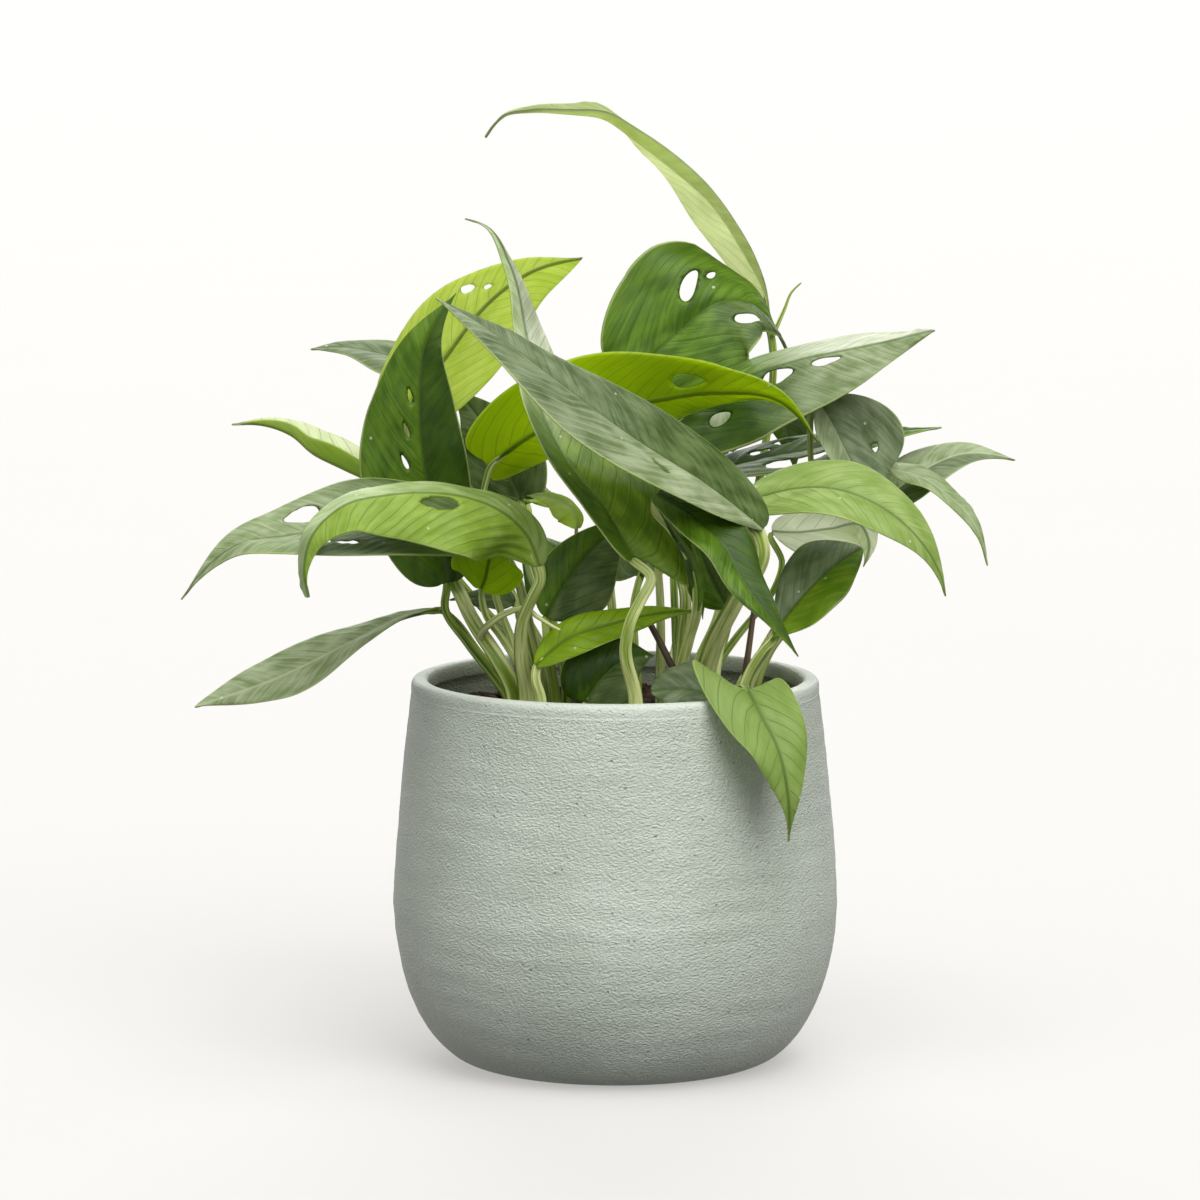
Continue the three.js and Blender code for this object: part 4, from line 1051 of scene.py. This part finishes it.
def make_leaf(number, leaf):
    blade = Blade(leaf)
    shape = Shape()
    spacing = 1.1 if blade.spine.total > 60 else 0.9
    add_blade(shape, blade, spacing)
    joint = []
    for along, depth in STALK_JOINT:
        _, up, _ = blade.frame(np.array(along))
        joint.append(blade.at(along, 0) - up * depth * blade.stalkRadius)

    def stalk_radius(share):
        neck = 0.25 + 0.75 * min(1, share / 0.09)
        knee = 1 + 0.12 * math.exp(-(((share - 0.13) / 0.05) ** 2))
        return blade.stalkRadius * neck * knee * (0.84 + 0.6 * share**1.6)

    add_tube(shape, planted([*joint, *blade.stalk]), stalk_radius, sides=20, groove=0.34, flat=1.15)
    for shoot in blade.shoots:

        def shoot_radius(share):
            return shoot["radius"] * (1.1 - 0.75 * share)

        add_tube(shape, shoot["points"], shoot_radius, spacing=1.0, groove=0.5)
    if blade.sheath:
        add_blade(shape, Blade({**blade.sheath, "name": "sheath", "stalkRadius": 0.3}), 0.7)
    under, *tones = LOOKS[blade.name]
    glow, glow_colour = UNDERS[under][2:]
    length = blade.spine.total / FLOW_UNIT
    materials = [
        leaf_material(f"{blade.name}_upper", tones[:2], tones[-2:], length, number + 1, glow, glow_colour),
        under_materials[under],
        stalk_material(f"{blade.name}_stalk", *STALK_TONES["pale" if number % 3 else "green"], number),
    ]
    piece = shape.build(f"{blade.name}_fine", materials)
    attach(piece, "root")
    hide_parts(f"leaf_{blade.name}")


under_materials = {}
for number, (under, (*pair, glow, glow_colour)) in enumerate(UNDERS.items(), 41):
    under_materials[under] = leaf_material(f"{under}_under", pair, pair, 1, number, glow, glow_colour)

for number, leaf in enumerate(LEAVES):
    make_leaf(number, leaf)

for number, stem in enumerate(STEMS, 90):
    shape = Shape()
    add_tube(shape, planted(stem["points"]), lambda share: stem["radius"] * (0.8 + 0.35 * share))
    bark = stalk_material(f"{stem['name']}_bark", *STALK_TONES["bark"], number)
    piece = shape.build(f"{stem['name']}_fine", [bark, bark, bark])
    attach(piece, "root")
    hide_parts(stem["name"])


# The pot.


def outer_radius(height):
    """The pot's radius at a height: a quarter ellipse up to the belly, then a gentle curve inward."""
    height = np.asarray(height, float)
    drop = np.clip(1 - height / POT_BELLY_HEIGHT, 0, 1)
    low = POT_FOOT_RADIUS + (POT_BELLY_RADIUS - POT_FOOT_RADIUS) * np.sqrt(1 - drop**2)
    rise = np.clip((height - POT_BELLY_HEIGHT) / (POT_HEIGHT - POT_LIP_HEIGHT - POT_BELLY_HEIGHT), 0, 1.2)
    high = POT_BELLY_RADIUS - (POT_BELLY_RADIUS - POT_SHOULDER_RADIUS) * rise**1.35
    return np.where(height < POT_BELLY_HEIGHT, low, high)


def lathe(profile, sides):
    """Corners and faces of a shape turned round the upright axis, from its radii and heights."""
    profile = np.array(profile, float)
    angle = np.linspace(0, 2 * math.pi, sides, endpoint=False)
    corners = np.stack([
        profile[:, None, 0] * np.cos(angle),
        profile[:, None, 0] * np.sin(angle),
        np.repeat(profile[:, None, 1], sides, axis=1),
    ], -1)
    index, following = ring_indices(len(corners), sides)
    faces = np.stack([index[:-1], following[:-1], following[1:], index[1:]], -1).reshape(-1, 4)
    return corners.reshape(-1, 3), faces.tolist()


def pot_profile():
    """Radius and height from the middle of the base, over the outside and the lip, to the middle inside."""
    shoulder = POT_HEIGHT - POT_LIP_HEIGHT
    base = [(r, 0.0) for r in np.linspace(0.5, POT_FOOT_RADIUS - 1.2, 12)]
    low = POT_BELLY_HEIGHT * (1 - np.cos(np.linspace(0.06, math.pi / 2, 60)))
    high = np.linspace(POT_BELLY_HEIGHT + 1, shoulder - 1.2, 76)
    outside = [(float(outer_radius(h)), h) for h in [*low, *high]]
    centre = float(outer_radius(shoulder)) - POT_WALL / 2
    lip = []
    for degrees in np.linspace(-3, 183, 34):
        angle = math.radians(degrees)
        round_x = abs(math.cos(angle)) ** 0.6 * math.copysign(1, math.cos(angle))
        round_z = abs(math.sin(angle)) ** 0.6 * math.copysign(1, math.sin(angle))
        lip.append((centre + (POT_WALL / 2 + 0.15) * round_x, shoulder + POT_LIP_HEIGHT * round_z))
    inside = [(float(outer_radius(h)) - POT_WALL, h) for h in np.linspace(shoulder - 1, POT_FLOOR, 40)]
    floor = [(r, POT_FLOOR) for r in np.linspace(inside[-1][0] - 6, 0.5, 8)]
    return base + outside + lip + inside + floor


POT_SIDES = 420


def make_pot():
    flat, faces = lathe(pot_profile(), POT_SIDES)
    spin = np.stack([flat[:, 0], flat[:, 1], np.zeros(len(flat))], -1)
    away = spin / np.maximum(np.linalg.norm(spin, axis=1, keepdims=True), 1e-6)
    height = flat[:, 2]
    rough = np.clip(height / 3, 0, 1) * np.clip((POT_HEIGHT - 1 - height) / 2, 0, 1)
    outside = np.linalg.norm(spin, axis=1) > outer_radius(height) - 2
    grain = 0.05 * waves(flat, 3.0, 5, 40) + 0.04 * waves(flat, 1.7, 6, 40)
    slow = 0.12 * waves(flat, 45, 7) + 0.07 * waves(flat * [0.2, 0.2, 1], 9, 8)
    flat = flat + away * ((grain + slow) * rough * outside)[:, None]
    shape = Shape()
    shape.add(flat, flat / FLOW_UNIT, faces)
    return shape.build("pot_fine", [pot_material()])


GLAZES = ((188, 196, 183), (198, 205, 193))
# Painted shade: a darker glaze that is laid into the hollows of the grain.
GLAZE_PAINTED_SHADE = (156, 165, 148)
GLAZE_PIT = (120, 128, 112)
GLAZE_SPECK = (232, 234, 226)
LIP_GLAZE = (190, 197, 185)
LIP_PIT = (132, 141, 126)


def pot_material():
    """Matt sage-green glaze over rough clay: fine worm-like grain with shade painted into its hollows, few
    pits and pale specks, smoother lip.
    """
    g = Graph("sage_glaze")
    place = g.place()
    x, y, height = g.parts(place)
    shoulder = POT_HEIGHT - POT_LIP_HEIGHT
    lip = g.step(height, (shoulder - 0.6) * MM, (shoulder + 0.4) * MM)
    cloud = g.noise(place, 22.0, 3.0)
    grain = g.noise(g.vector(x, y, g.times(height, 1.5)), 900.0, 3.0, 0.6)
    worms = g.noise(g.vector(x, y, g.times(height, 1.6)), 760.0, 2.0)
    grit = g.noise(place, 1300.0, 2.0, 0.6)
    pits = g.times(g.spots(place, 330.0, 0.1, 0.24), g.step(g.noise(place, 160.0, 1.0), 0.6, 0.66))
    specks = g.times(g.spots(place, 210.0, 0.06, 0.14), g.step(grain, 0.5, 0.6))
    colour = g.mix(g.step(cloud, 0.35, 0.65), *map(linear, GLAZES))
    # Painted shade: the glaze is darkened where the grain is low, in its hollows.
    colour = g.tint(colour, linear(GLAZE_PAINTED_SHADE), g.step(grain, 0.62, 0.38), 0.22)
    colour = g.tint(colour, linear(GLAZE_PIT), pits, 0.5)
    colour = g.tint(colour, linear(GLAZE_SPECK), specks, 0.5)
    lip_colour = g.tint(linear(LIP_GLAZE), linear(LIP_PIT), pits, 0.3)
    colour = g.mix(lip, colour, lip_colour)
    relief = g.total((grain, 0.9), (worms, 0.9), (grit, 0.3), (pits, -0.6))
    relief = g.times(relief, g.inverse(g.times(lip, 0.4)))
    return g.finish(g.surface(colour, 0.5, relief, 1.0, 0.0008, Specular_IOR_Level=0.45))


pot = make_pot()
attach(pot, "root")
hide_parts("pot")


# The soil.


SOILS = ((40, 27, 18), (86, 62, 42))
SOIL_CRUMB = (140, 112, 82)
SOIL_SIDES = 240
SOIL_RINGS = 62
CHIPS = 240
CHIP_RINGS = 5
CHIP_SIDES = 8


def soil_material():
    g = Graph("dark_potting_mix")
    place = g.place()
    lump = g.noise(place, 90.0, 4.0, 0.6)
    grain = g.noise(place, 420.0, 3.0, 0.6)
    colour = g.mix(g.step(lump, 0.35, 0.65), *map(linear, SOILS))
    colour = g.tint(colour, linear(SOIL_CRUMB), g.step(grain, 0.6, 0.75), 0.6)
    return g.finish(g.surface(colour, 0.9, g.plus(lump, grain), 0.9, 0.0015))


def make_soil():
    rings = np.linspace(0.5, float(outer_radius(SOIL_TOP)) - POT_WALL - SOIL_GAP, SOIL_RINGS)
    reach = rings[-1]
    flat, faces = lathe([(r, SOIL_TOP) for r in rings], SOIL_SIDES)
    spread = flat[:, :2]
    lumps = 1.6 * waves(spread, 14, 21) + 1.1 * waves(spread, 5, 22) + 0.5 * waves(spread, 2.2, 23)
    edge = np.clip((reach - np.hypot(flat[:, 0], flat[:, 1])) / 4, 0, 1)
    flat[:, 2] += 1.0 + lumps * (0.3 + 0.7 * edge)
    shape = Shape()
    shape.add(flat, flat / FLOW_UNIT, faces)
    skirt, faces = lathe([(reach, SOIL_TOP + 1), (reach, SOIL_BOTTOM), (0.5, SOIL_BOTTOM)], SOIL_SIDES)
    shape.add(skirt, skirt / FLOW_UNIT, faces)
    draw = np.random.default_rng(31)
    for _ in range(CHIPS):
        radius = (reach - 5) * math.sqrt(draw.uniform())
        angle = draw.uniform(0, 2 * math.pi)
        x, y = radius * math.cos(angle), radius * math.sin(angle)
        add_chip(shape, [x, y, SOIL_TOP + draw.uniform(1, 3.5)], draw)
    return shape.build("soil_mix", [soil_material()])


def add_chip(shape, centre, draw):
    """A lump of bark or soil: a rounded block with random sides and uneven corners."""
    size = draw.uniform(1.2, 4.2) * np.array([1, draw.uniform(0.5, 0.9), draw.uniform(0.3, 0.6)])
    ball = [[0, 0, 1]]
    for down in np.linspace(0.0, math.pi, CHIP_RINGS + 2)[1:-1]:
        for angle in np.linspace(0, 2 * math.pi, CHIP_SIDES + 1)[:-1]:
            ball.append([math.sin(down) * math.cos(angle), math.sin(down) * math.sin(angle), math.cos(down)])
    ball = np.array(ball + [[0, 0, -1]], float)
    ball = np.sign(ball) * np.abs(ball) ** 0.7
    ball *= size * (1 + 0.16 * draw.normal(size=(len(ball), 1)))
    turn = Matrix.Rotation(draw.uniform(0, 6.28), 3, "Z") @ Matrix.Rotation(draw.uniform(-0.5, 0.5), 3, "X")
    corners = ball @ np.array(turn).T + np.array(centre)
    rings, following = ring_indices(CHIP_RINGS, CHIP_SIDES)
    rings, following = (rings + 1).tolist(), (following + 1).tolist()
    last = len(corners) - 1
    faces = [(0, *pair) for pair in zip(rings[0], following[0])]
    for row in range(CHIP_RINGS - 1):
        faces += zip(rings[row], rings[row + 1], following[row + 1], following[row])
    faces += [(last, after, before) for before, after in zip(rings[-1], following[-1])]
    shape.add(corners, corners / FLOW_UNIT, faces)


soil = make_soil()
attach(soil, "root")
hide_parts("soil")


# Floor, light and camera.


PAPER = ((140, 139, 137), (142, 141, 139))
PAPER_GLOW = (174, 173, 171)


def make_floor():
    g = Graph("studio_paper")
    colour = g.mix(g.noise(g.place(), 3.0, 2.0), *map(linear, PAPER))
    glow = linear(PAPER_GLOW)
    material = g.finish(g.surface(colour, 0.9, Emission_Color=glow, Emission_Strength=1.0))
    corners, faces = lathe([(0.5, 0), (300, 0), (2000, 0), (90000, 0)], 96)
    shape = Shape()
    shape.add(corners, corners / FLOW_UNIT, faces)
    floor = shape.build("floor", [material])
    floor.visible_diffuse = False


def make_sun(name, toward, angle, strength):
    data = bpy.data.lights.new(name, "SUN")
    data.angle = math.radians(angle)
    data.energy = strength
    lamp = bpy.data.objects.new(name, data)
    lamp.rotation_euler = Vector(toward).to_track_quat("Z", "Y").to_euler()
    bpy.context.scene.collection.objects.link(lamp)


# Each light: the way toward it, how wide it looks in degrees, and its strength.

LIGHTS = {
    "key": ((0.36, -0.65, 0.67), 45, 2.0),
    "fill": ((-0.45, -0.8, 0.40), 70, 0.75),
    "top": ((0.05, -0.2, 0.98), 45, 2.2),
    "back": ((0.0, 0.94, 0.34), 50, 1.7),
}

# The sky's brightness rises with height, from a dim one below to a brighter one above.

SKY_COLOUR = (1.0, 0.995, 0.985, 1)
SKY_RISE = {"From Min": -0.4, "From Max": 0.6, "To Min": 0.07, "To Max": 0.42}

CAMERA_PLACE = Vector((-0.0062, -2.25, 0.470))
CAMERA_AIM = Vector((-0.0062, 0.0, 0.1883))
CAMERA_LENS = 167.7
CAMERA_SENSOR = 36

make_floor()
for name, light in LIGHTS.items():
    make_sun(name, *light)

world = bpy.data.worlds.new("studio")
world.use_nodes = True
sky = world.node_tree
way = sky.nodes.new("ShaderNodeTexCoord")
split = sky.nodes.new("ShaderNodeSeparateXYZ")
rising = sky.nodes.new("ShaderNodeMapRange")
background = sky.nodes["Background"]
sky.links.new(way.outputs["Generated"], split.inputs[0])
sky.links.new(split.outputs[2], rising.inputs["Value"])
for key, value in SKY_RISE.items():
    rising.inputs[key].default_value = value
background.inputs["Color"].default_value = SKY_COLOUR
sky.links.new(rising.outputs[0], background.inputs["Strength"])
bpy.context.scene.world = world
bpy.context.scene.view_settings.view_transform = "Standard"

camera = bpy.data.objects.new("camera", bpy.data.cameras.new("camera"))
camera.data.lens = CAMERA_LENS
camera.data.sensor_width = CAMERA_SENSOR
camera.location = CAMERA_PLACE
camera.rotation_euler = (CAMERA_PLACE - CAMERA_AIM).to_track_quat("Z", "Y").to_euler()
bpy.context.scene.collection.objects.link(camera)
bpy.context.scene.camera = camera
